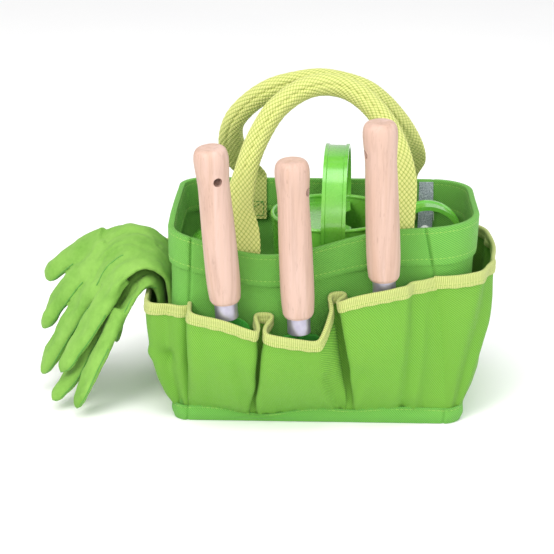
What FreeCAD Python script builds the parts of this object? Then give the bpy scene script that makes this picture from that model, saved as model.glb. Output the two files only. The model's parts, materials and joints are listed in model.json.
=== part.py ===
"""Garden tool bag: a soft green fabric tote with a ring of outside pockets, two carry handles,
three wooden-handled hand tools, a sheet-metal watering can and a pair of fabric gloves.

Frame: millimetres, +Z up, origin at the centre of the bag's base, front of the bag towards -Y.
Each sub-part is written to parts/NODE.step. Fabric is modelled as thin closed shells with a small gap
between layers; wood and metal pieces have their real shapes.
"""

import FreeCAD, Part
import math
import os
from FreeCAD import Vector as V

# ---- driving dimensions of the bag ----
HEIGHT = 152.0            # rim height of the bag away from the sagging front
BASE_HALF_W, RIM_HALF_W = 107.0, 114.0        # half width at the floor and at the rim
BASE_HALF_D, RIM_HALF_D = 70.0, 62.0          # half depth at the floor and at the rim
BASE_SHIFT, RIM_SHIFT = 1.5, 5.6              # the soft bag leans a little to the right as it stands
# corner radii at the floor and at the rim, and how late the change comes
CORNERS = {"front_right": (12.0, 41.0, 1.6), "back_right": (12.0, 28.0, 1.2),
           "back_left": (10.0, 20.0, 1.0), "front_left": (9.0, 17.0, 1.0)}
CLOTH = 1.2               # fabric thickness, two coated layers
GAP = 0.3                 # clearance between layers that are sewn together
SAG_X, SAG_WIDTH = -35.0, 62.0        # where the loaded front slumps, and how wide that is
SAG_DROP, SAG_BULGE = 19.0, 10.5      # how far its rim drops, and how far the wall bulges out
BAND_TOP = 13.0           # height of the band round the base
HEM = 27.0                # height of the doubled band round the rim
POCKET_FOOT = BAND_TOP + GAP
POCKET_OFF_SEAM = 2.6     # how far the pocket cloth stands off the wall at a seam
TAPE = 0.9                # thickness of the woven edge tape
TAPE_H = 8.5              # height of the edge tape
WEB_W, WEB_T = 25.0, 2.4  # flat carry webbing
GRIP_R = 9.0              # the webbing where it is rolled into a grip

# ---- driving dimensions of the tools ----
GRIP_LEN = 118.5          # wooden handle above its ferrule
FERRULE_R, FERRULE_LEN, FERRULE_T = 8.5, 13.0, 0.8
TANG_R = 2.9
HANG_HOLE_R = 3.3
HANG_HOLE_DOWN = 23.0     # below the handle's top
STEEL = 1.4               # thickness of the painted steel heads

# ---- driving dimensions of the watering can ----
CAN_X, CAN_Z0, CAN_RIM_Z = 11.5, 3.2, 143.0
CAN_R0, CAN_R1, CAN_T = 41.0, 46.5, 0.9
STRAP_W, STRAP_T, BEAD = 18.0, 1.2, 3.0
HOOP_TURN, HOOP_SHIFT = -3.0, 3.0     # the carrying strap stands slightly askew

os.makedirs("parts", exist_ok=True)
made = {}


def save(name, shape):
    """Keeps a sub-part and writes its STEP file."""
    solids = shape.Solids
    assert solids and all(s.isValid() for s in solids), name
    whole = solids[0] if len(solids) == 1 else Part.makeCompound(solids)
    made[name] = whole
    whole.exportStep("parts/%s.step" % name)
    print("%-24s %8.0f mm3 in %d" % (name, sum(s.Volume for s in solids), len(solids)))
    return whole


# ---- surfaces through stations ----

def spline(points, knots, closed):
    """A smooth edge through the points; every edge of one skin shares the same knots."""
    curve = Part.BSplineCurve()
    curve.interpolate(Points=points, PeriodicFlag=closed, Parameters=knots)
    return curve.toShape()


def triangle(a, b, c):
    return Part.Face(Part.makePolygon([a, b, c, a]))


def skin(stations, closed=False, sheet=False):
    """A closed solid through cross-sections, each a loop of the same number of points.
    sheet says that a section is two rows of points, out and back, so that its ends are capped in strips."""
    middle = [sum(s, V()) * (1.0 / len(s)) for s in stations]
    loop = middle + middle[:1] if closed else middle
    knots = [0.0]
    for p, q in zip(loop, loop[1:]):
        knots.append(knots[-1] + max((q - p).Length, 0.05))
    count = len(stations[0])
    edges = [spline([s[j] for s in stations], knots, closed) for j in range(count)]
    faces = [Part.makeRuledSurface(edges[j], edges[(j + 1) % count], 1) for j in range(count)]
    if not closed:
        for s in (stations[0], stations[-1]):
            if sheet:
                for k in range(count // 2 - 1):
                    a, b, c, d = s[k], s[k + 1], s[count - 2 - k], s[count - 1 - k]
                    faces += [triangle(a, b, c), triangle(a, c, d)]
            else:
                centre = sum(s, V()) * (1.0 / count)
                faces += [triangle(s[j], s[(j + 1) % count], centre) for j in range(count)]
    shell = Part.makeShell(faces)
    shell.sewShape()
    solid = Part.makeSolid(shell if shell.ShapeType == "Shell" else shell.Shells[0])
    if solid.Volume < 0:
        solid.reverse()
    return solid


def sweep(path, section, across, square=lambda t: 1.0):
    """Sections along a path of points. section(t) gives (along across, along the other way) pairs in mm;
    across(t) is the direction that the first number runs in. square(t) is 1 where the section is square
    to the path and 0 where it stays along across(t), as skewed cloth does."""
    stations = []
    for i, p in enumerate(path):
        t = i / (len(path) - 1.0)
        ahead = path[min(i + 1, len(path) - 1)] - path[max(i - 1, 0)]
        ahead.normalize()
        side = across(t) - ahead * across(t).dot(ahead) * square(t)
        side.normalize()
        up = ahead.cross(side)
        up.normalize()
        stations.append([p + side * a + up * b for a, b in section(t)])
    return stations


def oval(width, thick, count=12, square=2.0):
    """Points of a flattened round section."""
    out = []
    for k in range(count):
        a = 2 * math.pi * (k + 0.5) / count
        c, s = math.cos(a), math.sin(a)
        out.append((math.copysign(abs(c) ** (2 / square), c) * width / 2,
                    math.copysign(abs(s) ** (2 / square), s) * thick / 2))
    return out


def smooth_path(points, per_span=4):
    """More points on a Catmull-Rom curve through the given ones."""
    ends = [points[0] * 2 - points[1]] + list(points) + [points[-1] * 2 - points[-2]]
    out = []
    for a, b, c, d in zip(ends, ends[1:], ends[2:], ends[3:]):
        for k in range(per_span):
            t = k / float(per_span)
            out.append((b * 2 + (c - a) * t + (a * 2 - b * 5 + c * 4 - d) * t ** 2
                        + (b * 3 - a - c * 3 + d) * t ** 3) * 0.5)
    return out + [points[-1]]


def ramp(t):
    """0 to 1 with level ends."""
    t = min(1.0, max(0.0, t))
    return t * t * (3 - 2 * t)


# ---- the bag's wall ----

def grow(low, high, z, power=1.0):
    return low + (high - low) * max(z / HEIGHT, 0.0) ** power


def half_sizes(z):
    """Half width, half depth and sideways shift at height z."""
    return (grow(BASE_HALF_W, RIM_HALF_W, z), grow(BASE_HALF_D, RIM_HALF_D, z, 0.8), grow(BASE_SHIFT, RIM_SHIFT, z))


def corner(name, z):
    low, high, power = CORNERS[name]
    return grow(low, high, z, power)


def slump(p):
    """The loaded front drops and bulges round SAG_X."""
    share = math.exp(-((p.x - SAG_X) / SAG_WIDTH) ** 2) * ramp((-p.y - 22) / 34.0)
    return V(p.x, p.y - SAG_BULGE * share * ramp(p.z / 70.0),
             p.z - SAG_DROP * share * (max(p.z, 0) / HEIGHT) ** 1.2)


def plan(u, z, off):
    """A point off mm outside the bag's wall. u runs 0 to 8 anticlockwise from the front left seam:
    front 0-1, corner 1-2, right 2-3, corner 3-4, back 4-5, corner 5-6, left 6-7, corner 7-8."""
    a, b, shift = half_sizes(z)
    fr, br, bl, fl = [corner(name, z) for name in ("front_right", "back_right", "back_left", "front_left")]
    side, t = int(u) % 8, u - int(u)
    sin, cos = math.sin(math.pi / 2 * t), math.cos(math.pi / 2 * t)
    x, y = [lambda: (-(a - fl) * (1 - t) + (a - fr) * t, -(b + off)),
            lambda: (a - fr + (fr + off) * sin, -(b - fr) - (fr + off) * cos),
            lambda: (a + off, -(b - fr) * (1 - t) + (b - br) * t),
            lambda: (a - br + (br + off) * cos, b - br + (br + off) * sin),
            lambda: ((a - br) * (1 - t) - (a - bl) * t, b + off),
            lambda: (-(a - bl) - (bl + off) * sin, b - bl + (bl + off) * cos),
            lambda: (-(a + off), (b - bl) * (1 - t) - (b - fl) * t),
            lambda: (-(a - fl) - (fl + off) * cos, -(b - fl) - (fl + off) * sin)][side]()
    return V(x + shift, y, z)


def wall(u, z, off):
    return slump(plan(u, z, off))


def flat_height(x, y, z):
    """The height that sags down to z at a given x and y."""
    flat = z
    for _ in range(5):
        flat += z - slump(V(x, y, flat)).z
    return flat


def sheet_between(us, levels, out, back):
    """A shell on the wall over the given u values, between two offsets."""
    return skin([[wall(u, z, out) for z in levels] + [wall(u, z, back) for z in reversed(levels)]
                 for u in us], sheet=True)


def spread(a, b, count):
    return [a + (b - a) * i / (count - 1.0) for i in range(count)]


def around(count_per_side=6):
    """u values once round the bag, without repeating the first."""
    return [s + i / float(count_per_side) for s in range(8) for i in range(count_per_side)]


def ring(section):
    """A closed ring round the wall; section is a list of (off, z)."""
    return skin([[wall(u, z, off) for off, z in section] for u in around()], closed=True)


def build_bag():
    wall_levels = [1.5 + GAP, 18, 45, 80, 115, HEIGHT - 1.5]
    for name, a, b, count in (("front_panel", 0, 1, 13), ("right_panel", 1, 4, 17),
                              ("back_panel", 4, 5, 7), ("left_panel", 5, 8, 17)):
        inset = 0.003
        save(name, sheet_between(spread(a + inset, b - inset, count), wall_levels, 0.0, -CLOTH))
    low = [plan(u, 0, 0) for u in around()]
    outline = spline(low, [float(i) for i in range(len(low) + 1)], True)
    save("base_panel", Part.Face(Part.Wire([outline])).extrude(V(0, 0, 1.5)))
    save("base_band", ring([(GAP, 0.4), (GAP + CLOTH, 0.4), (GAP + CLOTH, BAND_TOP), (GAP, BAND_TOP)]))
    top, low = HEIGHT + 0.6, HEIGHT - HEM
    inner = -CLOTH - GAP
    save("rim_band", ring([(GAP, low), (GAP + CLOTH, low), (GAP + CLOTH, top), (inner - CLOTH, top),
                           (inner - CLOTH, low), (inner, low), (inner, HEIGHT - 0.9), (GAP, HEIGHT - 0.9)]))


# ---- pockets ----
# Each pocket strip is a path of (u, stand-off at the top, height of its top edge). Two close points with a
# large change of stand-off make a pleat; the strip is sewn to the wall where the stand-off is smallest.

def front_u(x, z=95.0):
    """u on the front wall at a given x."""
    a, _, shift = half_sizes(z)
    left, right = shift - a + corner("front_left", z), shift + a - corner("front_right", z)
    return (x - left) / (right - left)


def back_u(x, z=95.0):
    """u on the back wall at a given x."""
    a, _, shift = half_sizes(z)
    left, right = shift - a + corner("back_left", z), shift + a - corner("back_right", z)
    return 4 + (right - x) / (right - left)


S = POCKET_OFF_SEAM
CAP = GAP + TAPE          # the edge tape stands this far above the pocket's own top edge
FRONT_STRIP = [(front_u(x), off, flat_height(x, -70 - off, top - CAP)) for x, off, top in (
    (-91.5, S, 96), (-92.5, 10, 95.5), (-92, 20, 95), (-86, 24, 94), (-66, 24.5, 91.5), (-48, 24.5, 85),
    (-40.5, 20, 83), (-39.6, 10, 85), (-38.0, S, 88), (-35.5, S, 88.5), (-33.0, 10, 86),
    (-32.5, 20, 83), (-27, 24, 81), (-12, 24.5, 78), (2, 24.5, 75.5), (8.0, 20, 80), (10.5, 10, 90),
    (12.5, S, 97), (15.5, S, 98.5), (17.5, 10, 102), (18.5, 20, 105), (24, 25, 109), (38, 27, 112.5),
    (54, 27, 116), (68, 25, 118), (77, 14, 120), (85.0, S, 120))]
FIRST_PLEAT, SECOND_PLEAT = front_u(-37), front_u(14)
SPLAY = 0.043             # the pleats between the front pockets spread apart towards the floor
RIGHT_STRIP = [(1.04, S, 119), (1.30, 6, 118), (1.65, 11, 116.5), (2.05, 16, 116), (2.5, 20, 115.5),
               (2.95, 18, 115.5), (3.4, 14, 115), (3.75, 8, 115), (3.96, S, 115)]
BACK_STRIP = [(4 + t, off, 113) for t, off in (
    (0.03, S), (0.06, 9), (0.10, 15), (0.16, 18), (0.28, 15), (0.325, 9), (0.338, S), (0.352, S), (0.365, 9),
    (0.41, 15), (0.50, 17), (0.59, 15), (0.635, 9), (0.648, S), (0.662, S), (0.675, 9), (0.72, 15),
    (0.84, 18), (0.90, 15), (0.94, 9), (0.97, S))]
LEFT_STRIP = [(5.04, S, 113), (5.25, 8, 109), (5.6, 14, 103), (6.05, 19, 96), (6.5, 21.5, 91),
              (6.95, 20.5, 91), (7.3, 17, 93.5), (7.7, 9, 95.5), (7.96, S, 97)]


def splayed(u, share):
    """u on the front strip, moved sideways below the top edge."""
    if not 0 < u < 1:
        return u
    if u < FIRST_PLEAT:
        move = -u / FIRST_PLEAT
    elif u < SECOND_PLEAT:
        move = -1 + 2 * (u - FIRST_PLEAT) / (SECOND_PLEAT - FIRST_PLEAT)
    else:
        move = (1 - u) / (1 - SECOND_PLEAT)
    return u + SPLAY * move * (1 - share)


def cut_corners(rows):
    """One round of corner cutting, so that a pleat's edges are rounded."""
    out = [rows[0]]
    for p, q in zip(rows, rows[1:]):
        out.append(tuple(0.75 * a + 0.25 * b for a, b in zip(p, q)))
        out.append(tuple(0.25 * a + 0.75 * b for a, b in zip(p, q)))
    return out + [rows[-1]]


def strip_rows(strip, shares):
    """Middle-surface points of a strip: one row of points per share of its height, foot 0 to top 1."""
    path = cut_corners(strip)
    rows = []
    for share in shares:
        fill = 1 - (1 - share) ** 2.6
        rows.append([wall(splayed(u, share), POCKET_FOOT + (top - POCKET_FOOT) * share,
                          S + (off - S) * fill) for u, off, top in path])
    return rows


def level_normals(row):
    """Outward horizontal normals along a row of points."""
    out = []
    for i in range(len(row)):
        d = row[min(i + 1, len(row) - 1)] - row[max(i - 1, 0)]
        n = V(d.y, -d.x, 0)
        out.append(n.normalize())
    return out


def layer(rows, near, far):
    """A shell between two distances from the strip's middle surface, as sheet stations."""
    normals = [level_normals(row) for row in rows]
    count = len(rows[0])
    return [[rows[k][i] + normals[k][i] * far for k in range(len(rows))]
            + [rows[k][i] + normals[k][i] * near for k in reversed(range(len(rows)))]
            for i in range(count)]


def build_pocket(name, strip):
    half = 0.5
    shares = [0.0, 0.08, 0.2, 0.4, 0.68, 1.0]
    save("pocket_" + name, skin(layer(strip_rows(strip, shares), -half, half), sheet=True))
    path_top = strip_rows(strip, [1.0])[0]
    drop = TAPE_H / (path_top[0].z - POCKET_FOOT)
    path_low = strip_rows(strip, [1.0 - drop])[0]
    normals_top, normals_low = level_normals(path_top), level_normals(path_low)
    near = half + GAP + (0.2 if name == "left" else 0.0)      # the left pocket bellies out most below its tape
    far = near + TAPE
    stations = []
    for top, low, nt, nl in zip(path_top, path_low, normals_top, normals_low):
        lid, cap = V(0, 0, GAP), V(0, 0, GAP + TAPE)
        stations.append([low + nl * far, top + nt * far + cap, top - nt * far + cap, low - nl * far,
                         low - nl * near, top - nt * near + lid, top + nt * near + lid, low + nl * near])
    save("tape_" + name, skin(stations, sheet=False))


# ---- carry handles ----

FRONT_LOOP = [(-53.5, -65.5, 137.2), (-53.5, -65.5, 140.0), (-54.5, -62.0, 149.0), (-57.5, -56.0, 164.0),
              (-54.0, -46.5, 182.0), (-48.5, -38.0, 200.0), (-41.0, -29.5, 216.0), (-30.0, -21.5, 230.5),
              (-15.0, -14.0, 241.0), (1.0, -11.2, 245.5), (19.0, -12.0, 244.0), (34.0, -17.0, 236.0),
              (48.0, -25.5, 222.5), (56.0, -34.0, 207.0), (60.0, -43.0, 190.0), (60.0, -50.5, 173.0),
              (58.5, -57.3, 156.5), (58.5, -57.3, 153.8)]
BACK_LOOP = [(-54.0, 57.0, 154.4), (-54.0, 57.0, 157.4), (-61.0, 51.0, 168.0), (-68.0, 41.0, 186.0),
             (-67.0, 31.0, 203.0), (-58.5, 23.5, 217.5), (-45.0, 16.0, 230.5), (-26.0, 12.0, 240.0),
             (2.0, 10.7, 244.5), (29.0, 13.0, 238.5), (47.0, 19.0, 226.0), (60.5, 27.0, 209.0),
             (69.5, 36.0, 190.0), (72.0, 47.5, 172.0), (66.5, 57.0, 157.4), (66.5, 57.0, 154.4)]


def webbing_section(t):
    """Flat at the sewn ends, folded up and rolled into a round grip between them."""
    rolled = ramp((min(t, 1 - t) - 0.06) / 0.20)
    width = WEB_W + (2 * GRIP_R - WEB_W) * rolled
    thick = WEB_T + (2 * GRIP_R - 1.5 - WEB_T) * rolled
    return oval(width, thick, 12, 3.2 - 1.2 * rolled)


def build_handle(name, loop, tabs):
    path = smooth_path([V(*p) for p in loop], 2)

    def across(t):
        turn = math.pi * ramp((t - 0.06) / 0.88)
        return V(math.cos(turn), 0, -math.sin(turn))

    def square(t):
        return ramp((min(t, 1 - t) - 0.03) / 0.15)
    save(name + "_handle_loop", skin(sweep(path, webbing_section, across, square)))
    for side, (find_u, x, low, high) in tabs:
        outer = -(CLOTH + GAP) * 2
        stations = []
        for z in spread(low, high, 7):
            corners = [(-1, outer), (1, outer), (1, outer - WEB_T), (-1, outer - WEB_T)]
            stations.append([wall(find_u(x + k * WEB_W / 2, z), z, off) for k, off in corners])
        save("%s_handle_tab_%s" % (name, side), skin(stations))


def build_handles():
    """Each loop's flat ends are sewn inside the rim band, so its tabs hang down the inner wall."""
    build_handle("front", FRONT_LOOP, [("left", (front_u, -53.5, 112, 151.6)),
                                       ("right", (front_u, 58.5, 122, 151.6))])
    build_handle("back", BACK_LOOP, [("left", (back_u, -54.0, 118, 151.6)),
                                     ("right", (back_u, 66.5, 118, 151.6))])


# ---- hand tools, each modelled upright with its origin at the foot of the wooden handle ----
# local x runs across the head, local y towards the bag, local z up the handle

GRIP_PROFILE = [(10.3, 0.0), (11.3, 2.0), (12.1, 12.0), (12.3, 28.0), (12.0, 55.0), (11.4, 80.0), (11.3, 90.0),
                (12.0, 101.0), (12.4, 108.0), (12.1, 112.5), (10.6, 116.4), (7.6, 118.2), (0.0, GRIP_LEN)]
SPIGOT_R, SPIGOT_LEN = FERRULE_R - FERRULE_T - 0.05, 11.5


def wooden_handle(hole_turn):
    """Turned handle with a spigot for the ferrule, a bore for the tang and a hanging hole."""
    rings = [V(r, 0, z) for r, z in GRIP_PROFILE]
    curve = Part.BSplineCurve()
    curve.interpolate(rings[1:-1])
    edges = [Part.LineSegment(V(0, 0, -SPIGOT_LEN), V(SPIGOT_R, 0, -SPIGOT_LEN)),
             Part.LineSegment(V(SPIGOT_R, 0, -SPIGOT_LEN), V(SPIGOT_R, 0, 0)),
             Part.LineSegment(V(SPIGOT_R, 0, 0), rings[0]), Part.LineSegment(rings[0], rings[1]),
             curve, Part.LineSegment(rings[-2], rings[-1]),
             Part.LineSegment(rings[-1], V(0, 0, -SPIGOT_LEN))]
    face = Part.Face(Part.Wire([e.toShape() for e in edges]))
    body = face.revolve(V(), V(0, 0, 1), 360)
    body = body.cut(Part.makeCylinder(TANG_R + 0.1, 10.6, V(0, 0, -SPIGOT_LEN)))
    a = math.radians(hole_turn)
    way = V(math.sin(a), -math.cos(a), 0)
    start = V(0, 0, GRIP_LEN - HANG_HOLE_DOWN) - way * 20
    return body.cut(Part.makeCylinder(HANG_HOLE_R, 40, start, way))


def ferrule():
    """Steel cup over the spigot, with a hole in its floor for the tang."""
    outer = Part.makeCylinder(FERRULE_R, FERRULE_LEN, V(0, 0, -FERRULE_LEN - 0.05))
    cup = Part.makeCylinder(FERRULE_R - FERRULE_T, FERRULE_LEN, V(0, 0, -FERRULE_LEN + 1.2))
    hole = Part.makeCylinder(TANG_R + 0.1, 5, V(0, 0, -FERRULE_LEN - 1))
    return outer.cut(cup).cut(hole)


def tang(step, foot):
    """The bar from inside the handle down to the head, stepping back towards the bag."""
    down = [z for z in (-24, -31, -40, -50) if z > foot + 5]
    line = [V(0, step * (0.35 + 0.65 * (z + 19) / (foot + 19)), z) for z in [-19] + down + [foot]]
    path = smooth_path([V(0, 0, -1.6), V(0, 0, -8), V(0, 0, -15)] + line, 4)
    return skin(sweep(path, lambda t: oval(2 * TANG_R, 2 * TANG_R), lambda t: V(1, 0, 0)))


def fused(first, others):
    return first.multiFuse(others).removeSplitter()


def trowel_head(length):
    """Scooped blade with rounded shoulders and a rounded point."""
    stations = []
    step = 1.6
    for i in range(13):
        s = i / 12.0
        z = -14.5 - (length - 14.5) * s
        half = 16.5 * min(1.0, 0.42 + (s / 0.12) ** 0.6 * 0.58 if s < 0.12 else 1.0)
        if s > 0.35:
            half *= math.sqrt(max(0.0, 1 - ((s - 0.35) / 0.655) ** 2.2))
        half = max(half, 1.2)
        dip = 0.009 * half * half
        back = step * ramp((s + 0.12) / 0.3)
        front_row, rear_row = [], []
        for k in range(9):
            q = -1 + k / 4.0
            y = back - dip * q * q
            front_row.append(V(half * q, y - STEEL / 2, z))
            rear_row.append(V(half * q, y + STEEL / 2, z))
        stations.append(front_row + rear_row[::-1])
    blade = skin(stations, sheet=True)
    return fused(tang(step, -23), [blade])


def fork_head(length):
    """Three flat pointed tines on a shouldered crosshead, cut from one plate."""
    step, half, thick = 7.0, 3.0, 2.6
    arm = [(-18, -24), (-12, -19.5), (-3, -18.5), (3, -18.5), (12, -19.5), (18, -24)]
    for x in (15.0, 0.0, -15.0):
        arm += [(x + half, -27 if x < 15 else -length + 12), (x + half, -length + 12), (x, -length),
                (x - half, -length + 12), (x - half, -27 if x > -15 else -length + 12)]
    outline = [V(x, step - thick / 2, z) for i, (x, z) in enumerate(arm) if (x, z) not in arm[:i]]
    plate = Part.Face(Part.makePolygon(outline + outline[:1])).extrude(V(0, thick, 0))
    return fused(tang(step, -24), [plate])


def rake_head(length):
    """Flat crosshead with five teeth bent forward."""
    step, half, tooth_w, reach = 3.6, 20.0, 4.6, 7.0
    top = -length + 14
    head = [(-half, top - 12), (-half, top - 3), (-half + 5, top), (-4, top + 5), (4, top + 5), (half - 5, top),
            (half, top - 3), (half, top - 12)]
    outline = [V(x, step, z) for x, z in head]
    pieces = [Part.Face(Part.makePolygon(outline + outline[:1])).extrude(V(0, STEEL, 0))]
    for i in range(5):
        x = (half - tooth_w / 2) * (i - 2) / 2
        side, back, shoulder, z = tooth_w / 2, step + STEEL, step - reach + 3, top - 13.4
        tooth = [V(x - side, back, z), V(x + side, back, z), V(x + side, shoulder, z), V(x, step - reach, z),
                 V(x - side, shoulder, z)]
        pieces.append(Part.Face(Part.makePolygon(tooth + tooth[:1])).extrude(V(0, 0, 1.8)))
    return fused(tang(step + STEEL / 2, top), pieces)


# name, foot of the wooden handle, its top, turn of the hanging hole, head
TOOLS = [
    ("trowel", V(-65.7, -85.2, 102.6), V(-74.5, -95.2, 219.8), 22, trowel_head(78.0)),
    ("fork", V(-12.6, -86.6, 92.4), V(-17.9, -91.5, 211.4), 70, fork_head(68.0)),
    ("rake", V(49.0, -79.4, 119.1), V(43.2, -86.0, 237.9), -72, rake_head(76.0)),
]


def build_tools():
    for name, foot, top, turn, head in TOOLS:
        place = FreeCAD.Placement(foot, FreeCAD.Rotation(V(0, 0, 1), top - foot))
        for part, shape in (("handle", wooden_handle(turn)), ("ferrule", ferrule()), ("head", head)):
            moved = shape.copy()
            moved.Placement = place.multiply(moved.Placement)
            save("%s_%s" % (name, part), moved)
        way = (top - foot).normalize()
        hole = place.multVec(V(0, 0, GRIP_LEN - HANG_HOLE_DOWN))
        a = math.radians(turn)
        print(name, "axis", [round(c, 5) for c in way], "hole", [round(c / 1000, 5) for c in hole],
              "along", [round(c, 5) for c in place.Rotation.multVec(V(math.sin(a), -math.cos(a), 0))])


# ---- watering can ----

def strap_section(width):
    """A band with a bead along each edge."""
    w, b, t = width / 2, BEAD / 2, STRAP_T / 2
    half = [(-w, -b), (-w + b * 1.6, -b), (-w + b * 2, -t), (w - b * 2, -t), (w - b * 1.6, -b), (w, -b)]
    return half + [(x, -y) for x, y in reversed(half)]


def strap(points, across):
    path = smooth_path(points, 3)
    return skin(sweep(path, lambda t: strap_section(STRAP_W), lambda t: across))


def can_radius(z):
    return CAN_R0 + (CAN_R1 - CAN_R0) * (z - CAN_Z0) / (CAN_RIM_Z - CAN_Z0)


def rivets(points):
    """Round-headed rivets at (place, outward direction)."""
    out = []
    for p, way in points:
        shank = Part.makeCylinder(1.5, 5.2, p - way * 3.2, way)
        head = Part.makeSphere(3.2, p + way * 0.6, way, 0, 90, 360)
        tail = Part.makeCylinder(2.4, 1.0, p - way * 4.0, way)
        out.append(fused(shank, [head.common(Part.makeCylinder(2.8, 4, p + way * 1.8, way)), tail]))
    return out


def build_can():
    centre = V(CAN_X, 0, 0)
    up = V(0, 0, 1)
    height = CAN_RIM_Z - CAN_Z0
    outer = Part.makeCone(CAN_R0, CAN_R1, height, V(CAN_X, 0, CAN_Z0), up)
    hollow = Part.makeCone(CAN_R0 - CAN_T, CAN_R1 - CAN_T, height, V(CAN_X, 0, CAN_Z0 + 1.2), up)
    body = outer.cut(hollow)
    rim = Part.makeTorus(CAN_R1 - CAN_T / 2, 1.6, V(CAN_X, 0, CAN_RIM_Z), up)
    foot = Part.makeTorus(CAN_R0 - 0.8, 1.3, V(CAN_X, 0, CAN_Z0 + 1.3), up)
    body = fused(body, [rim, foot])

    hood_z = CAN_RIM_Z - 5.0
    disc = Part.makeCylinder(can_radius(hood_z) - CAN_T - 0.35, 1.0, V(CAN_X, 0, hood_z), up)
    keep = Part.makeBox(60, 100, 4, V(CAN_X - 60 + 14, -50, hood_z - 1))
    bite = Part.makeCylinder(34, 4, V(CAN_X + 40, 0, hood_z - 1), up)
    hood = disc.common(keep).cut(bite)

    axis_z = 60.0
    spout_foot = V(CAN_X - 38, 0, axis_z - 8)
    spout_top = V(-80.0, 0, 116.0)
    way = (spout_top - spout_foot).normalize()
    run = (spout_top - spout_foot).Length
    tube = Part.makeCone(9.5, 6.0, run, spout_foot, way)
    bore = Part.makeCone(8.7, 5.2, run + 0.01, spout_foot, way)
    body_skin = Part.makeCone(CAN_R0 + 0.05, CAN_R1 + 0.05, height, V(CAN_X, 0, CAN_Z0), up)
    spout = tube.cut(bore).cut(body_skin)

    rose_axis = V(-0.68, 0, 0.73).normalize()
    rose_foot = spout_top - way * 7.0
    cone = [V(6.3, 0, 0), V(7.2, 0, 0), V(7.6, 0, 9), V(16.5, 0, 17), V(16.5, 0, 21), V(0, 0, 22.6), V(0, 0, 21.6),
            V(15.6, 0, 20.2), V(15.6, 0, 17.5), V(6.9, 0, 9.6), V(6.3, 0, 8.0)]
    face = Part.Face(Part.makePolygon(cone + cone[:1]))
    rose = face.revolve(V(), up, 360)
    pricks = [Part.makeCylinder(0.8, 6, V(r * math.cos(a), r * math.sin(a), 19))
              for r, n in ((0.0, 1), (5.0, 6), (10.0, 12)) for a in [2 * math.pi * k / n for k in range(n)]]
    rose = rose.cut(Part.makeCompound(pricks))
    rose.Placement = FreeCAD.Placement(rose_foot, FreeCAD.Rotation(V(0, 0, 1), way)).multiply(rose.Placement)

    r_low, r_high = can_radius(112), can_radius(140)
    lift = BEAD / 2 + 0.3
    half = [V(0, r_low + lift, 112), V(0, r_high + lift, 136), V(0, r_high + 3.6, 150), V(0, 45, 166),
            V(0, 34, 182), V(0, 18, 191.5)]
    arch = [V(0, -p.y, p.z) for p in half] + [V(0, 0, 194.4)] + half[::-1]
    hoop = FreeCAD.Placement(V(CAN_X + HOOP_SHIFT, 0, 0), FreeCAD.Rotation(V(0, 0, 1), HOOP_TURN))
    top_strap = strap([hoop.multVec(p) for p in arch], hoop.Rotation.multVec(V(1, 0, 0)))
    x = CAN_X + can_radius(116) + lift
    low_x = CAN_X + can_radius(30) + lift
    back_strap = strap([V(x - 0.2, 0, 112), V(x + 0.5, 0, 124), V(x + 5, 0, 138), V(x + 16, 0, 148),
                        V(x + 30, 0, 149.5), V(x + 43, 0, 143), V(x + 50, 0, 130), V(x + 48.5, 0, 108),
                        V(x + 38, 0, 86), V(x + 22, 0, 64), V(x + 7, 0, 50), V(low_x, 0, 38), V(low_x - 0.4, 0, 26)],
                       V(0, 1, 0))
    spots = []
    for side in (-1, 1):
        spot = hoop.multVec(V(0, side * can_radius(118), 118)) - V(CAN_X, 0, 0)
        out = V(spot.x, spot.y, 0).normalize()
        spots.append((V(CAN_X, 0, 118) + out * (can_radius(118) - 0.2), out))
    spots += [(V(CAN_X + can_radius(116) - 0.2, 0, 116), V(1, 0, 0)),
              (V(CAN_X + can_radius(30) - 0.2, 0, 30), V(1, 0, 0))]
    nails = rivets(spots)
    holes = Part.makeCompound(nails)
    save("can_body", body.cut(spout_hole(spout_foot, way)).cut(holes))
    save("can_hood", hood)
    save("can_spout", spout)
    save("can_rose", rose)
    save("can_top_strap", top_strap.cut(holes))
    save("can_back_strap", back_strap.cut(holes))
    save("can_rivets", Part.makeCompound(nails))


def spout_hole(foot, way):
    """The opening in the can's wall under the spout."""
    return Part.makeCylinder(6.0, 30, foot - way * 16, way)


# ---- gloves ----
# Each glove is a flattened palm and cuff along a draped path, with fingers and a thumb as flat tapering rolls.

# Palm stations are pairs of points on its far and near edges.

UPPER_PALM = [((-110.3, 20, 44), (-110.3, -36, 44)), ((-110.8, 21, 70), (-110.8, -37, 68)),
              ((-111.6, 22, 92), (-111.2, -38, 88)), ((-116.0, 22, 108), (-113.5, -39, 101)),
              ((-131.0, 22, 121), (-122.0, -41, 109.5)), ((-147.0, 23, 125.5), (-133.0, -43, 110.5)),
              ((-160.0, 24, 122.5), (-142.0, -45, 104.5)), ((-174.0, 25, 114.5), (-150.0, -46, 96)),
              ((-184.0, 25, 106.5), (-156.0, -46, 86))]
LOWER_PALM = [((-117.8, 19, 46), (-117.8, -36, 46)), ((-118.6, 20, 70), (-118.6, -37, 68)),
              ((-120.4, 20, 90), (-120.0, -38, 86)), ((-126.0, 18, 103), (-123.0, -42, 96)),
              ((-134.0, 16, 108), (-128.5, -47, 97.5)), ((-145.0, 14, 106), (-136.5, -50, 88.5)),
              ((-155.0, 13, 96), (-143.5, -52, 75)), ((-163.0, 12, 84), (-150.0, -54, 66)),
              ((-169.0, 11, 74), (-156.0, -54, 58))]
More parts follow.
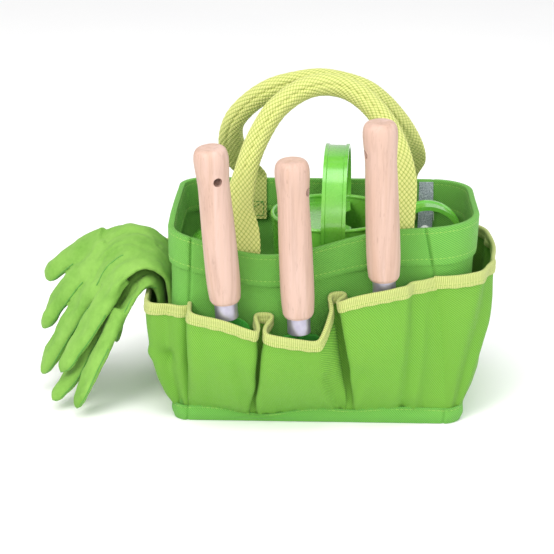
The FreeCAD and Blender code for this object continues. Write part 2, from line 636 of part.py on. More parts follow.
UPPER_FINGERS = [
    [(-178, 18, 109), (-193, 22, 100), (-206, 24, 89), (-219, 26, 77)],
    [(-171, 2, 103), (-191, 3, 84), (-205, 4, 65), (-218.5, 5, 43)],
    [(-164, -15, 97), (-184, -16, 69), (-200, -17, 43), (-216, -19, 14)],
    [(-155, -34, 91), (-169, -41, 71), (-182, -47, 50), (-195.5, -51, 30)],
]
LOWER_FINGERS = [
    [(-154, -46, 67), (-164, -56, 46), (-173, -64, 26), (-181, -70, 8.5)],
    [(-159, -29, 69), (-173, -35, 47), (-187, -44, 25), (-200, -58, 9.0)],
    [(-163, -14, 74), (-176, -19, 52), (-186, -21, 32), (-193, -22, 13)],
    [(-167, 3, 78), (-184, 5, 60), (-198, 5, 44), (-210, 4, 29)],
    [(-152, 10, 96), (-157, 19, 73), (-160, 21, 49), (-161.5, 19, 26)],
]
GLOVE_T = 6.4
FINGER_W, FINGER_T = 17.0, 7.6


def finger_section(t):
    tip = math.sqrt(max(0.03, 1 - max(0.0, (t - 0.7) / 0.31) ** 2))
    return oval(FINGER_W * (1 - 0.06 * t) * tip, FINGER_T * tip, 10, 2.3)


def build_glove(name, palm, fingers):
    far = smooth_path([V(*p) for p, _ in palm], 2)
    near = smooth_path([V(*q) for _, q in palm], 2)
    middle = [(p + q) * 0.5 for p, q in zip(far, near)]
    stations = []
    for i, (p, q, centre) in enumerate(zip(far, near, middle)):
        ahead = middle[min(i + 1, len(middle) - 1)] - middle[max(i - 1, 0)]
        side = (p - q).normalize()
        up = ahead.cross(side).normalize()
        stations.append([centre + side * a + up * b for a, b in oval((p - q).Length, GLOVE_T, 14, 3.4)])
    pieces = [skin(stations)]
    slope = (V(*palm[-1][0]) - V(*palm[-1][1])).normalize()
    for finger in fingers:
        path = smooth_path([V(*p) for p in finger], 4)
        pieces.append(skin(sweep(path, finger_section, lambda t: slope)))
    save(name, pieces[0].multiFuse(pieces[1:]))


# ---- inside tape ----

def build_inner_tape():
    """A grey woven strap sewn down the inside of the back, with a snap near its end."""
    x, half, thick = 86.4, 6.0, 1.2
    inside = -(CLOTH + GAP) * 2 - thick / 2
    path = [wall(back_u(x, z), z, inside) for z in spread(HEIGHT, 100, 6)]
    stations = [[p + V(-half, -thick / 2, 0), p + V(half, -thick / 2, 0), p + V(half, thick / 2, 0),
                 p + V(-half, thick / 2, 0)] for p in path]
    save("inner_strap", skin(stations))
    seat = path[-2] + V(0, -thick / 2 - GAP, 0)
    stud = Part.makeCylinder(4.2, 1.2, seat, V(0, -1, 0))
    dome = Part.makeSphere(6.0, seat + V(0, 2.7, 0), V(0, -1, 0), 0, 90, 360)
    save("snap_stud", fused(stud, [dome.common(Part.makeCylinder(4.2, 6, seat - V(0, 1.0, 0), V(0, -1, 0)))]))


build_bag()
for strip_name, strip in (("front", FRONT_STRIP), ("right", RIGHT_STRIP), ("back", BACK_STRIP), ("left", LEFT_STRIP)):
    build_pocket(strip_name, strip)
build_handles()
build_tools()
build_can()
build_glove("upper_glove", UPPER_PALM, UPPER_FINGERS)
build_glove("lower_glove", LOWER_PALM, LOWER_FINGERS)
build_inner_tape()
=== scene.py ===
"""Garden tool bag: the visual model. All shapes are worked out in millimetres in the CAD frame
(+Z up, front of the bag towards -Y, origin at the centre of its base) and stored in metres."""
import json
import math

import bmesh
import bpy
import numpy as np
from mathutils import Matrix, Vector
from mathutils.bvhtree import BVHTree
from mathutils.kdtree import KDTree


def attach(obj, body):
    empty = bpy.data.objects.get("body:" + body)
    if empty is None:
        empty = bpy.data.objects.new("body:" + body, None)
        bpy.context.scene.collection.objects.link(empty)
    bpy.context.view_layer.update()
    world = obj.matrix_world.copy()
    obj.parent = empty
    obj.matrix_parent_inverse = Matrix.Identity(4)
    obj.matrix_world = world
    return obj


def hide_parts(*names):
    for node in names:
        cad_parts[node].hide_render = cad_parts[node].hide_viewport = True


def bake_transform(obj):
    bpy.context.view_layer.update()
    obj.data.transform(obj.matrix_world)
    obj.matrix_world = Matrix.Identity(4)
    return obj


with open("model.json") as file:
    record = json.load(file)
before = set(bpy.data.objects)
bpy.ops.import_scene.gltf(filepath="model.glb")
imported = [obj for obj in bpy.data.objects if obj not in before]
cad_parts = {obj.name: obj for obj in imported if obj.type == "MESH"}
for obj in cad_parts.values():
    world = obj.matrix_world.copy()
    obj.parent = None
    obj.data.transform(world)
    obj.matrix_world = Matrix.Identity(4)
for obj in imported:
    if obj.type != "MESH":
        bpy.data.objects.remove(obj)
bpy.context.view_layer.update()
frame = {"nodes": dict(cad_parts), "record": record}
MM = 0.001

# ---- the bag's wall, as the CAD has it ----
HEIGHT = 152.0            # of the rim
HALF_WIDTH = (107, 114)   # at the floor and at the rim
HALF_DEPTH = (70, 62)
LEAN = (1.5, 5.6)         # how far the middle of the bag lies to the right
# corner radii at the floor and at the rim, and how late the change comes
CORNERS = {"fr": (12.0, 41.0, 1.6), "br": (12.0, 28.0, 1.2), "bl": (10.0, 20.0, 1.0), "fl": (9.0, 17.0, 1.0)}
SAG_X, SAG_WIDTH, SAG_BULGE, SAG_DROP = -35, 62, 10.5, 19
CLOTH = 1.2               # thickness of the wall
HEM = 27.0                # height of the band round the rim
HEM_ROWS = (149.0, 129.4)             # heights of its two rows of stitches
BAND_SEAM, BAND_STITCHES = 11.6, 11.0     # where the pockets join the base band, and its stitches
S = 2.6                   # how far the pocket cloth stands off the wall at a seam
CAP = 1.2                 # the edge tape stands this far above the pocket's own top edge
TAPE_STITCHES = 5.3       # below the tape's top edge
TAPE_DENT = 3.2           # and the dent along the tape
RIB = 1.35                # width of one rib of the tape
PUCKER_PITCH = 3.6        # of the puckers beside a row of stitches
WEB_CELL, WEB_CELLS = 4.0, 15     # size of one float of the webbing, and how many go round the grip


def ramp(t):
    """0 to 1 with level ends."""
    t = np.clip(t, 0, 1)
    return t * t * (3 - 2 * t)


def grow(low, high, z, power=1.0):
    return low + (high - low) * np.maximum(z / HEIGHT, 0) ** power


def half_sizes(z):
    return grow(*HALF_WIDTH, z), grow(*HALF_DEPTH, z, 0.8), grow(*LEAN, z)


def slump(p):
    """The loaded front bulges out and its rim drops."""
    share = np.exp(-((p[..., 0] - SAG_X) / SAG_WIDTH) ** 2) * ramp((-p[..., 1] - 22) / 34)
    out = p.copy()
    out[..., 1] -= SAG_BULGE * share * ramp(p[..., 2] / 70)
    out[..., 2] -= SAG_DROP * share * (np.maximum(p[..., 2], 0) / HEIGHT) ** 1.2
    return out


def wall(u, z, off):
    """Points of the bag's wall: u runs 0 to 8 round it, over four sides and four corners in turn, from the
    front left; off is how far outside the wall they lie."""
    u, z, off = (np.asarray(v, float) for v in np.broadcast_arrays(u, z, off))
    a, b, shift = half_sizes(z)
    fr, br, bl, fl = [grow(lo, hi, z, p) for lo, hi, p in CORNERS.values()]
    side, t = np.floor(u).astype(int) % 8, u - np.floor(u)
    sin, cos = np.sin(np.pi / 2 * t), np.cos(np.pi / 2 * t)
    x = np.choose(side, [-(a - fl) * (1 - t) + (a - fr) * t, a - fr + (fr + off) * sin, a + off,
                         a - br + (br + off) * cos, (a - br) * (1 - t) - (a - bl) * t,
                         -(a - bl) - (bl + off) * sin, -(a + off), -(a - fl) - (fl + off) * cos])
    y = np.choose(side, [-(b + off), -(b - fr) - (fr + off) * cos, -(b - fr) * (1 - t) + (b - br) * t,
                         b - br + (br + off) * sin, b + off, b - bl + (bl + off) * cos,
                         (b - bl) * (1 - t) - (b - fl) * t, -(b - fl) - (fl + off) * sin])
    return slump(np.stack([x + shift, y, z], -1))


def flat_height(x, y, z):
    """The height before the slump of a point that comes to lie at z."""
    flat = z
    for _ in range(5):
        flat += z - slump(np.array([x, y, flat]))[2]
    return flat


def field(p, scale, seed, waves=24):
    """Smooth noise of about unit size, with features of about that many millimetres."""
    rng = np.random.default_rng(seed)
    k = rng.normal(size=(waves, 3))
    k *= 2 * np.pi / scale * rng.uniform(0.5, 1.3, (waves, 1)) / np.linalg.norm(k, axis=1, keepdims=True)
    return np.sin(p @ k.T + rng.uniform(0, 2 * np.pi, waves)).sum(-1) / math.sqrt(waves / 2)


def unit(v):
    return v / np.maximum(np.linalg.norm(v, axis=-1, keepdims=True), 1e-9)


def arc(p):
    """Length along a row of points."""
    return np.concatenate([[0], np.cumsum(np.linalg.norm(np.diff(p, axis=0), axis=1))])


def curve(points, step=1.5):
    """Catmull-Rom curve through the points, at about that spacing."""
    pts = np.asarray(points, float)
    ext = np.vstack([2 * pts[0] - pts[1], pts, 2 * pts[-1] - pts[-2]])
    out = []
    for a, b, c, d in zip(ext, ext[1:], ext[2:], ext[3:]):
        t = np.linspace(0, 1, 24, endpoint=False)[:, None]
        out.append((2 * b + (c - a) * t + (2 * a - 5 * b + 4 * c - d) * t ** 2
                    + (3 * b - a - 3 * c + d) * t ** 3) / 2)
    fine = np.vstack(out + [pts[-1:]])
    s = arc(fine)
    at = np.linspace(0, s[-1], max(int(s[-1] / step), 2) + 1)
    return np.stack([np.interp(at, s, fine[:, k]) for k in range(pts.shape[1])], -1)


def eased(p, rounds):
    """A line of points with its kinks smoothed; its ends stay."""
    for _ in range(rounds):
        p[1:-1] = (p[:-2] + 2 * p[1:-1] + p[2:]) / 4
    return p


def superoval(width, thick, count, power):
    """Points of a flattened round section, squarer with a higher power."""
    a = 2 * np.pi * (np.arange(count) + 0.5) / count
    c, s = np.cos(a), np.sin(a)
    return np.stack([np.sign(c) * np.abs(c) ** (2 / power) * width / 2,
                     np.sign(s) * np.abs(s) ** (2 / power) * thick / 2], -1)


# ---- meshes ----

def mesh_piece(name, verts, faces, coords, material, angle=50, body="bag", fix=False):
    """A piece from points in mm. coords holds the cloth coordinates (mm) of every face corner; fix turns
    all faces outwards."""
    me = bpy.data.meshes.new(name)
    me.from_pydata((np.asarray(verts, float) * MM).tolist(), [], faces)
    if coords is not None:
        flat = np.zeros((len(coords), 3), np.float32)
        flat[:, :2] = np.asarray(coords)[:, :2]
        me.attributes.new("cloth_mm", "FLOAT_VECTOR", "CORNER").data.foreach_set("vector", flat.ravel())
    me.polygons.foreach_set("use_smooth", [True] * len(me.polygons))
    me.set_sharp_from_angle(angle=math.radians(angle))
    me.update()
    obj = bpy.data.objects.new(name, me)
    bpy.context.scene.collection.objects.link(obj)
    obj.data.materials.append(material)
    if fix:
        fix_normals(obj)
    if body:
        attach(obj, body)
    return obj


def fix_normals(obj):
    bm = bmesh.new()
    bm.from_mesh(obj.data)
    bmesh.ops.recalc_face_normals(bm, faces=bm.faces)
    bm.to_mesh(obj.data)
    bm.free()


def grid_normals(p, closed):
    du = np.roll(p, -1, 0) - np.roll(p, 1, 0) if closed else np.gradient(p, axis=0)
    return unit(np.cross(du, np.gradient(p, axis=1)))


def quads(n, m, index, wrap_i=False, wrap_j=False):
    """Index and coordinate-index quads of a grid."""
    i, j = np.meshgrid(np.arange(n if wrap_i else n - 1), np.arange(m if wrap_j else m - 1), indexing="ij")
    i, j = i.ravel(), j.ravel()
    ring = [(i, j), (i + 1, j), (i + 1, j + 1), (i, j + 1)]
    return (np.stack([index(a % n, b % m) for a, b in ring], 1),
            np.stack([np.stack([a, b], 1) for a, b in ring], 1))


def grid_coords(p, closed=False):
    """Cloth coordinates of a grid: length along the middle row, length up the middle column."""
    q = np.concatenate([p, p[:1]]) if closed else p
    s, up = arc(q[:, q.shape[1] // 2]), arc(q[q.shape[0] // 2])
    return np.stack(np.meshgrid(s, up, indexing="ij"), -1)


def ring_coords(s, section):
    """Cloth coordinates of a tube: lengths s along it, and the length round its section."""
    v = arc(section)
    return np.stack(np.meshgrid(s, np.concatenate([v, [v[-1] + 1]]), indexing="ij"), -1)


def shell(name, outer, thick, material, closed=False, normals=None):
    """Cloth with its outside on a grid of points."""
    n, m = outer.shape[:2]
    inner = outer - (grid_normals(outer, closed) if normals is None else normals) * thick
    co = grid_coords(outer, closed)
    verts = np.concatenate([outer.reshape(-1, 3), inner.reshape(-1, 3)])
    f, c = quads(n, m, lambda a, b: a * m + b, wrap_i=closed)
    faces, at = [f, f[:, ::-1] + n * m], [c, c[:, ::-1]]
    rows, cols = np.arange(n + 1 if closed else n), np.arange(m)
    borders = [(rows, m - 1, False), (rows, 0, True)]
    if not closed:
        borders += [(0, cols, False), (n - 1, cols, True)]
    for row, col, flip in borders:
        line = np.stack(np.broadcast_arrays(row, col), 1)
        a = np.stack([line[:-1], line[1:], line[1:], line[:-1]], 1)
        q = a[..., 0] % n * m + a[..., 1] + np.array([0, 0, n * m, n * m])
        faces.append(q[:, ::-1] if flip else q)
        at.append(a[:, ::-1] if flip else a)
    faces, at = np.concatenate(faces), np.concatenate(at).reshape(-1, 2)
    return mesh_piece(name, verts, faces.tolist(), co[at[:, 0], at[:, 1]], material)


def tube(name, rings, material, coords, closed=False, body="bag"):
    """Rings of points, closed round each ring; closed joins the last ring to the first."""
    n, m = rings.shape[:2]
    f, c = quads(n, m, lambda a, b: a * m + b, wrap_i=closed, wrap_j=True)
    f, c = f[:, ::-1], c[:, ::-1]
    faces, at = f.tolist(), [c.reshape(-1, 2)]
    if not closed:
        for i in (0, n - 1):
            loop = np.arange(m) if i == 0 else np.arange(m)[::-1]
            faces.append((i * m + loop).tolist())
            at.append(np.stack([np.full(m, i), loop], 1))
    at = np.concatenate(at)
    return mesh_piece(name, rings.reshape(-1, 3), faces, coords[at[:, 0], at[:, 1]], material, body=body,
                      fix=True)


def capped(parts):
    """Vertices and faces of several tubes, each a stack of rings with its two ends filled."""
    verts, faces, base = [], [], 0
    for rings in parts:
        n, m = rings.shape[:2]
        verts.append(rings.reshape(-1, 3))
        f, _ = quads(n, m, lambda a, b: a * m + b, wrap_j=True)
        faces += (f + base).tolist()
        faces += [[base + k for k in range(m)], [base + (n - 1) * m + k for k in range(m)][::-1]]
        base += n * m
    return np.vstack(verts), faces


def stitches(name, points, normals, material, length=2.8, r=0.34):
    """A row of thread stitches that lie on a surface, each a short bead with pointed ends."""
    s = arc(points)
    pitch, sink = 3.4, 0.1
    count = int(s[-1] / pitch)
    verts, faces = [], []
    profile = [(-0.5, 0.25, -0.2), (-0.36, 0.9, 0.12), (0.0, 1.0, 0.22), (0.36, 0.9, 0.12), (0.5, 0.25, -0.2)]

    def at(d, p=points):
        return np.array([np.interp(d, s, p[:, i]) for i in range(3)])

    for k in range(count):
        mid = (k + 0.5) * s[-1] / count
        n = unit(at(mid, normals))
        way = unit(at(mid + 1) - at(mid - 1))
        side = np.cross(n, way)
        base = len(verts)
        for along, fat, lift in profile:
            c = at(mid + along * length) + n * (r * lift * 2 - sink)
            for q in range(6):
                a = q * math.pi / 3
                verts.append(c + (side * math.cos(a) + n * math.sin(a) * 0.8) * r * fat)
        for ring in range(len(profile) - 1):
            for q in range(6):
                a, b = base + ring * 6 + q, base + ring * 6 + (q + 1) % 6
                faces.append([a, a + 6, b + 6, b])
        faces.append([base + q for q in range(6)])
        last = base + 6 * (len(profile) - 1)
        faces.append([last + q for q in range(6)][::-1])
    mesh_piece(name, verts, faces, None, material, 60, fix=True)


# ---- materials ----

def linear(rgb):
    """An 8-bit screen colour as a linear one."""
    return [((c / 255 + 0.055) / 1.055) ** 2.4 if c > 10 else c / 255 / 12.92 for c in rgb] + [1.0]


class Paint:
    """A node material round one Principled shader."""

    def __init__(self, name, rough, coat=0.0, metal=0.0, sheen=0.0, specular=0.5):
        self.m = bpy.data.materials.new(name)
        self.m.use_nodes = True
        self.t = self.m.node_tree
        self.b = self.t.nodes["Principled BSDF"]
        for key, value in (("Roughness", rough), ("Metallic", metal), ("Specular IOR Level", specular),
                           ("Coat Weight", coat), ("Coat Roughness", 0.12), ("Sheen Weight", sheen),
                           ("Sheen Roughness", 0.45)):
            self.b.inputs[key].default_value = value

    def add(self, kind, inputs=(), **fields):
        node = self.t.nodes.new("ShaderNode" + kind)
        for key, value in fields.items():
            setattr(node, key, value)
        for key, value in dict(inputs).items():
            if isinstance(value, bpy.types.NodeSocket):
                self.t.links.new(value, node.inputs[key])
            else:
                node.inputs[key].default_value = value
        return node

    def maths(self, operation, a, b=0.0):
        return self.add("Math", {0: a, 1: b}, operation=operation).outputs[0]

    def object_point(self, scale=(1, 1, 1), turn=(0, 0, 0)):
        point = self.add("TexCoord").outputs["Object"]
        return self.add("Mapping", {"Vector": point, "Scale": scale, "Rotation": turn}).outputs[0]

    def noise(self, scale, detail=3.0, vector=None, distortion=0.0, rough=0.5):
        vector = vector or self.object_point()
        return self.add("TexNoise", {"Vector": vector, "Scale": scale, "Detail": detail,
                                     "Distortion": distortion, "Roughness": rough}).outputs["Fac"]

    def cloth_uv(self):
        place = self.add("Attribute", attribute_name="cloth_mm").outputs["Vector"]
        split = self.add("SeparateXYZ", {0: place})
        return split.outputs["X"], split.outputs["Y"]

    def wave(self, x, period):
        return self.maths("SINE", self.maths("MULTIPLY", x, 2 * math.pi / period))

    def mix(self, share, one, two):
        return self.add("Mix", {0: share, 6: one, 7: two}, data_type="RGBA").outputs[2]

    def between(self, x, low, high, to_low=0.0, to_high=1.0):
        return self.add("MapRange", {"Value": x, "From Min": low, "From Max": high, "To Min": to_low,
                                     "To Max": to_high}).outputs[0]

    def tones(self, x, low, high, one, two):
        """From one colour to the other as x goes from low to high."""
        return self.mix(self.between(x, low, high), linear(one), linear(two))

    def tinted(self, colour, x, low, high, most, rgb, dim=1.0):
        """The colour with up to that share of a second, dimmed one as x goes from low to high."""
        return self.mix(self.between(x, low, high, 0, most), colour, linear([c * dim for c in rgb]))

    def blend(self, a, share, b, rest):
        return self.maths("ADD", self.maths("MULTIPLY", a, share), self.maths("MULTIPLY", b, rest))

    def finish(self, colour, height=None, distance=0.0002, strength=1.0, rough=None):
        self.t.links.new(colour, self.b.inputs["Base Color"])
        if rough is not None:
            self.t.links.new(rough, self.b.inputs["Roughness"])
        if height is not None:
            bump = self.add("Bump", {"Height": height, "Strength": strength, "Distance": distance})
            self.t.links.new(bump.outputs[0], self.b.inputs["Normal"])
        return self.m


def twill(name, light, dark, period=1.75):
    """Coated polyester twill: fine diagonal ribs crossed by threads, with faint blotches and scuffs."""
    p = Paint(name, 0.6, sheen=0.04, specular=0.28)
    u, v = p.cloth_uv()
    rib = p.wave(p.maths("ADD", u, v), period)
    cross = p.wave(p.maths("SUBTRACT", u, v), period * 0.62)
    weave = p.blend(rib, 0.7, cross, 0.3)
    colour = p.tones(weave, -1, 1, dark, light)
    colour = p.tinted(colour, p.noise(28, 4), 0.35, 0.7, 0.35, light, 0.86)
    fleck = p.noise(900, 1)
    height = p.maths("ADD", weave, p.maths("MULTIPLY", fleck, 0.6))
    return p.finish(colour, height, 0.0003, 0.8, p.between(fleck, 0.3, 0.7, 0.5, 0.72))


def ribbed(name, light, dark):
    """Grosgrain edge tape: upright ribs with fine cross threads."""
    p = Paint(name, 0.7, sheen=0.1, specular=0.3)
    u, v = p.cloth_uv()
    weave = p.blend(p.wave(u, RIB), 0.75, p.wave(v, 0.8), 0.25)
    colour = p.tones(weave, -0.9, 0.7, dark, light)
    colour = p.tinted(colour, p.noise(60, 4), 0.35, 0.75, 0.3, light, 0.9)
    return p.finish(colour, weave, 0.00025, 0.8)


def basket(name, light, dark):
    """Heavy webbing: staggered round floats with dark gaps."""
    p = Paint(name, 0.66, sheen=0.1, specular=0.3)
    u, v = p.cloth_uv()
    a = p.wave(p.maths("ADD", u, v), WEB_CELL * 2)
    b = p.wave(p.maths("SUBTRACT", u, v), WEB_CELL * 2)
    lattice = p.maths("MULTIPLY", a, b)
    share = p.maths("POWER", p.maths("ABSOLUTE", lattice), 0.45)
    thread = p.wave(p.maths("ADD", u, p.maths("MULTIPLY", v, 0.4)), 0.55)
    colour = p.tones(share, 0.1, 0.75, dark, light)
    colour = p.tinted(colour, p.noise(70, 4), 0.35, 0.75, 0.3, light, 0.93)
    height = p.maths("ADD", share, p.maths("MULTIPLY", thread, 0.12))
    return p.finish(colour, height, 0.0004, 0.8)


def knit(name, light, dark):
    """Brushed jersey of the gloves: short fuzz, faint pile direction and soft blotches."""
    p = Paint(name, 0.88, sheen=0.05, specular=0.1)
    fine = p.noise(1500, 2)
    pile = p.noise(230, 5, rough=0.65)
    colour = p.tones(p.noise(38, 3), 0.3, 0.7, dark, light)
    colour = p.tinted(colour, pile, 0.3, 0.75, 0.35, light, 1.1)
    height = p.maths("ADD", p.maths("MULTIPLY", fine, 0.5), pile)
    return p.finish(colour, height, 0.0003, 0.45)


def enamel(name, light, dark):
    """Glossy paint on steel, with a slight orange peel and thin spots."""
    p = Paint(name, 0.28, coat=0.6, specular=0.5)
    peel = p.noise(420, 2)
    speck = p.noise(120, 6, rough=0.7)
    colour = p.tones(p.noise(22, 4), 0.3, 0.7, dark, light)
    return p.finish(colour, peel, 0.00005, 0.25, p.between(speck, 0.3, 0.75, 0.2, 0.38))


def beech(name, light, dark):
    """Sanded beech: stretched grain, short dark flecks and broad warm bands."""
    p = Paint(name, 0.5, specular=0.35)
    long_grain = p.noise(1.0, 6, p.object_point((260, 260, 14)), 0.4, 0.6)
    band = p.noise(1.0, 3, p.object_point((70, 70, 5)), 0.8)
    fleck = p.noise(1.0, 2, p.object_point((900, 900, 90)))
    colour = p.tones(band, 0.3, 0.7, light, dark)
    colour = p.tinted(colour, long_grain, 0.45, 0.75, 0.5, dark, 0.84)
    colour = p.tinted(colour, fleck, 0.64, 0.72, 0.28, dark, 0.72)
    return p.finish(colour, long_grain, 0.00012, 0.35, p.between(long_grain, 0.3, 0.7, 0.42, 0.6))


def steel(name):
    """Spun steel: fine turning lines and smudges."""
    p = Paint(name, 0.3, metal=0.75)
    lines = p.noise(1.0, 3, p.object_point((60, 60, 2600)))
    smudge = p.noise(160, 4)
    colour = p.tones(smudge, 0.3, 0.7, (168, 163, 182), (190, 186, 202))
    return p.finish(colour, lines, 0.00003, 0.25, p.between(smudge, 0.3, 0.7, 0.3, 0.4))


def speckled(name):
    """Grey woven strap with light and dark specks."""
    p = Paint(name, 0.75, sheen=0.3)
    u, v = p.cloth_uv()
    speck = p.noise(1300, 2, rough=0.8)
    weave = p.maths("MULTIPLY", p.wave(u, 1.2), p.wave(v, 1.2))
    colour = p.tones(speck, 0.36, 0.64, (92, 112, 122), (214, 222, 228))
    colour = p.tinted(colour, weave, -1, 1, 0.3, (150, 164, 172))
    return p.finish(colour, p.maths("ADD", speck, weave), 0.00025, 0.8)


def plastic(name, rgb):
    p = Paint(name, 0.32, coat=0.2)
    colour = p.tones(p.noise(300, 3), 0.3, 0.7, [c * 0.96 for c in rgb], rgb)
    return p.finish(colour, p.noise(900, 2), 0.00003, 0.3)


def thread(name, rgb):
    p = Paint(name, 0.6, sheen=0.3)
    twist = p.noise(1.0, 2, p.object_point((2500, 2500, 2500), (0.4, 0.6, 0.3)))
    colour = p.tones(twist, 0.35, 0.65, [c * 0.8 for c in rgb], rgb)
    return p.finish(colour, twist, 0.0001, 0.5)


GREEN = twill("green_twill", (130, 199, 82), (62, 136, 52))
POCKET_GREEN = twill("green_twill_pocket", (134, 193, 66), (72, 134, 38))
LIME = ribbed("lime_grosgrain", (202, 209, 134), (144, 160, 70))
WEB = basket("lime_webbing", (207, 210, 128), (132, 154, 52))
GLOVE = knit("glove_jersey", (130, 174, 82), (102, 150, 60))
CAN = enamel("green_enamel_can", (122, 197, 70), (92, 178, 56))
HEAD = enamel("green_enamel_tools", (74, 168, 66), (54, 148, 54))
WOOD = beech("beech_wood", (203, 174, 163), (189, 155, 136))
STEEL = steel("ferrule_steel")
GREY = speckled("grey_strap_weave")
WHITE = plastic("snap_plastic", (244, 245, 246))
PALE_THREAD = thread("pale_green_thread", (150, 204, 84))
DARK_THREAD = thread("green_thread", (70, 150, 44))
TAPE_THREAD = thread("lime_thread", (158, 186, 84))
GLOVE_THREAD = thread("glove_thread", (86, 158, 48))

SLOTS = {"green_cloth": GREEN, "lime_tape": LIME, "lime_webbing": WEB, "beech": WOOD, "ferrule_steel": STEEL,
         "green_enamel_tools": HEAD, "green_enamel_can": CAN, "glove_cloth": GLOVE, "grey_strap": GREY,
         "white_snap": WHITE}

# ---- the wall ----
SEAMS = (0.0, 1.0, 4.0, 5.0)      # u of the upright seams
FINE_US = np.linspace(0, 8, 4001)
SPAN = arc(wall(FINE_US, 100.0, 0.0))


def round_us(step=1.7):
    """u values once round the bag, close together beside the seams."""
    at = list(np.arange(0, SPAN[-1], step))
    for seam in SEAMS:
        mid = np.interp(seam, FINE_US, SPAN)
        at += [(mid + d) % SPAN[-1] for d in (-3, -2, -1.3, -0.8, -0.4, 0, 0.4, 0.8, 1.3, 2, 3)]
    at = np.unique(np.round(at, 2))
    keep = np.concatenate([[True], np.diff(at) > 0.25])
    return np.interp(at[keep], SPAN, FINE_US)


US = round_us()
STITCH_US = np.linspace(0, 7.9999, 900)


def along(u):
    """Millimetres round the wall at u."""
    return np.interp(np.asarray(u) % 8, FINE_US, SPAN)


def seam_dent(u, depth, width):
    s, out = along(u), 0
    for seam in SEAMS:
        d = np.abs(s - along(seam))
        out = out - depth * np.exp(-(np.minimum(d, SPAN[-1] - d) / width) ** 2)
    return out


def outward(u, z):
    return unit(wall(u, z, 1.0) - wall(u, z, 0.0))


def wall_shape(u, z, off):
    """The wall with its soft unevenness."""
    p = wall(u, z, off)
    bump = field(p, 55, 3) * 0.9 + field(p, 22, 4) * 0.3
    calm = ramp((z - 6) / 30) * (1 - 0.9 * ramp((z - 108) / 14))
    p[..., :2] += outward(u, z)[..., :2] * (bump * calm)[..., None]
    return p


def side_sheet(name, lo, hi, node):
    """One panel of the wall, from u = lo to hi."""
    us = np.concatenate([[lo + 0.0004], US[(US > lo + 0.002) & (US < hi - 0.002)], [hi - 0.0004]])
    z = np.concatenate([np.linspace(1.9, 118, 40), np.linspace(120.5, 150.2, 16)])
    p = wall_shape(us[:, None], z, seam_dent(us, 1.2, 1.2)[:, None])
    obj = shell(name, p, CLOTH * 0.8, GREEN)
    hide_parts(node)


def rim_hem():
    """The doubled band round the rim, outside and inside."""
    z0, z1 = HEIGHT - HEM, HEIGHT + 0.1
    out, inside, t = 1.95, -2.95, 1.2
    ups = np.concatenate([np.linspace(z0, 128, 5), np.linspace(128.5, 130.5, 5), np.linspace(132, 147, 9),
                          np.linspace(147.8, 149.6, 5), [150.6]])
    middle = (out + inside) / 2
    top = [(out - 0.5, z1 + 0.1), (middle + 0.6, z1 + 0.45), (middle - 0.6, z1 + 0.45),
           (inside + 0.5, z1 + 0.1)]
    section = ([(out, z) for z in ups] + top + [(inside, z) for z in ups[::-1]]
               + [(inside + t, z) for z in ups] + [(-0.9, z1 - 1.6), (-0.3, z1 - 1.6)]
               + [(out - t, z) for z in ups[::-1]])
    off, z = np.array(section).T
    s = along(US)[:, None]
    sign = np.where(off > -0.6, 1.0, -1.0)
    pull = 0
    for row in HEM_ROWS:
        near = np.exp(-((z - row) / 0.8) ** 2)
        pull = pull + 0.3 * near * (0.65 + 0.35 * np.cos(2 * np.pi * s / PUCKER_PITCH))
    offs = off - sign * pull
    offs = offs + np.where(sign > 0, 1, -0.3) * seam_dent(US, 2.1, 0.8)[:, None]
    offs = offs - sign * 0.3 * np.exp(-((z - z0) / 1.2) ** 2)
    zz = z + 0.5 * np.sin(s / 17) * ramp((130 - z) / 6)
    p = wall_shape(US[:, None], zz, offs)
    co = ring_coords(np.concatenate([along(US), [SPAN[-1]]]), np.stack([off, z, 0 * z], 1))
    obj = tube("rim_hem", p, GREEN, co, closed=True)
    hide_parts("rim_band")
    for row, label in zip(HEM_ROWS, ("top", "low")):
        height = row + 0.5 * np.sin(along(STITCH_US) / 17.0) * ramp((130 - row) / 6)
        for off_at, way, side in ((out - 0.26, 1, "outside"), (inside + 0.26, -1, "inside")):
            pts = wall_shape(STITCH_US, height, off_at)
            stitches(f"rim_stitches_{label}_{side}", pts, outward(STITCH_US, row) * way, PALE_THREAD)


def wall_u(x, z, left, right, back):
    """u of the place at x on the front or back of the wall."""
    a, _, shift = half_sizes(z)
    lo, hi = (grow(*CORNERS[c][:2], z, CORNERS[c][2]) for c in (left, right))
    low, high = shift - a + lo, shift + a - hi
    return 4 + (high - x) / (high - low) if back else (x - low) / (high - low)


def front_u(x, z=95.0):
    return wall_u(x, z, "fl", "fr", False)


def back_u(x, z=95.0):
    return wall_u(x, z, "bl", "br", True)


def band_low(u):
    """How much lower the band's top edge is than its full height: it dips below the first pleat."""
    s = along(u)
    dip = 0.46 * np.exp(-((s - along(front_u(-38))) / 24) ** 2)
    for u0, share, width in ((front_u(22), 0.12, 16), (2.4, 0.1, 25), (4.5, 0.16, 30), (6.6, 0.15, 20)):
        dip = dip + share * np.exp(-((s - along(u0)) / width) ** 2)
    return dip


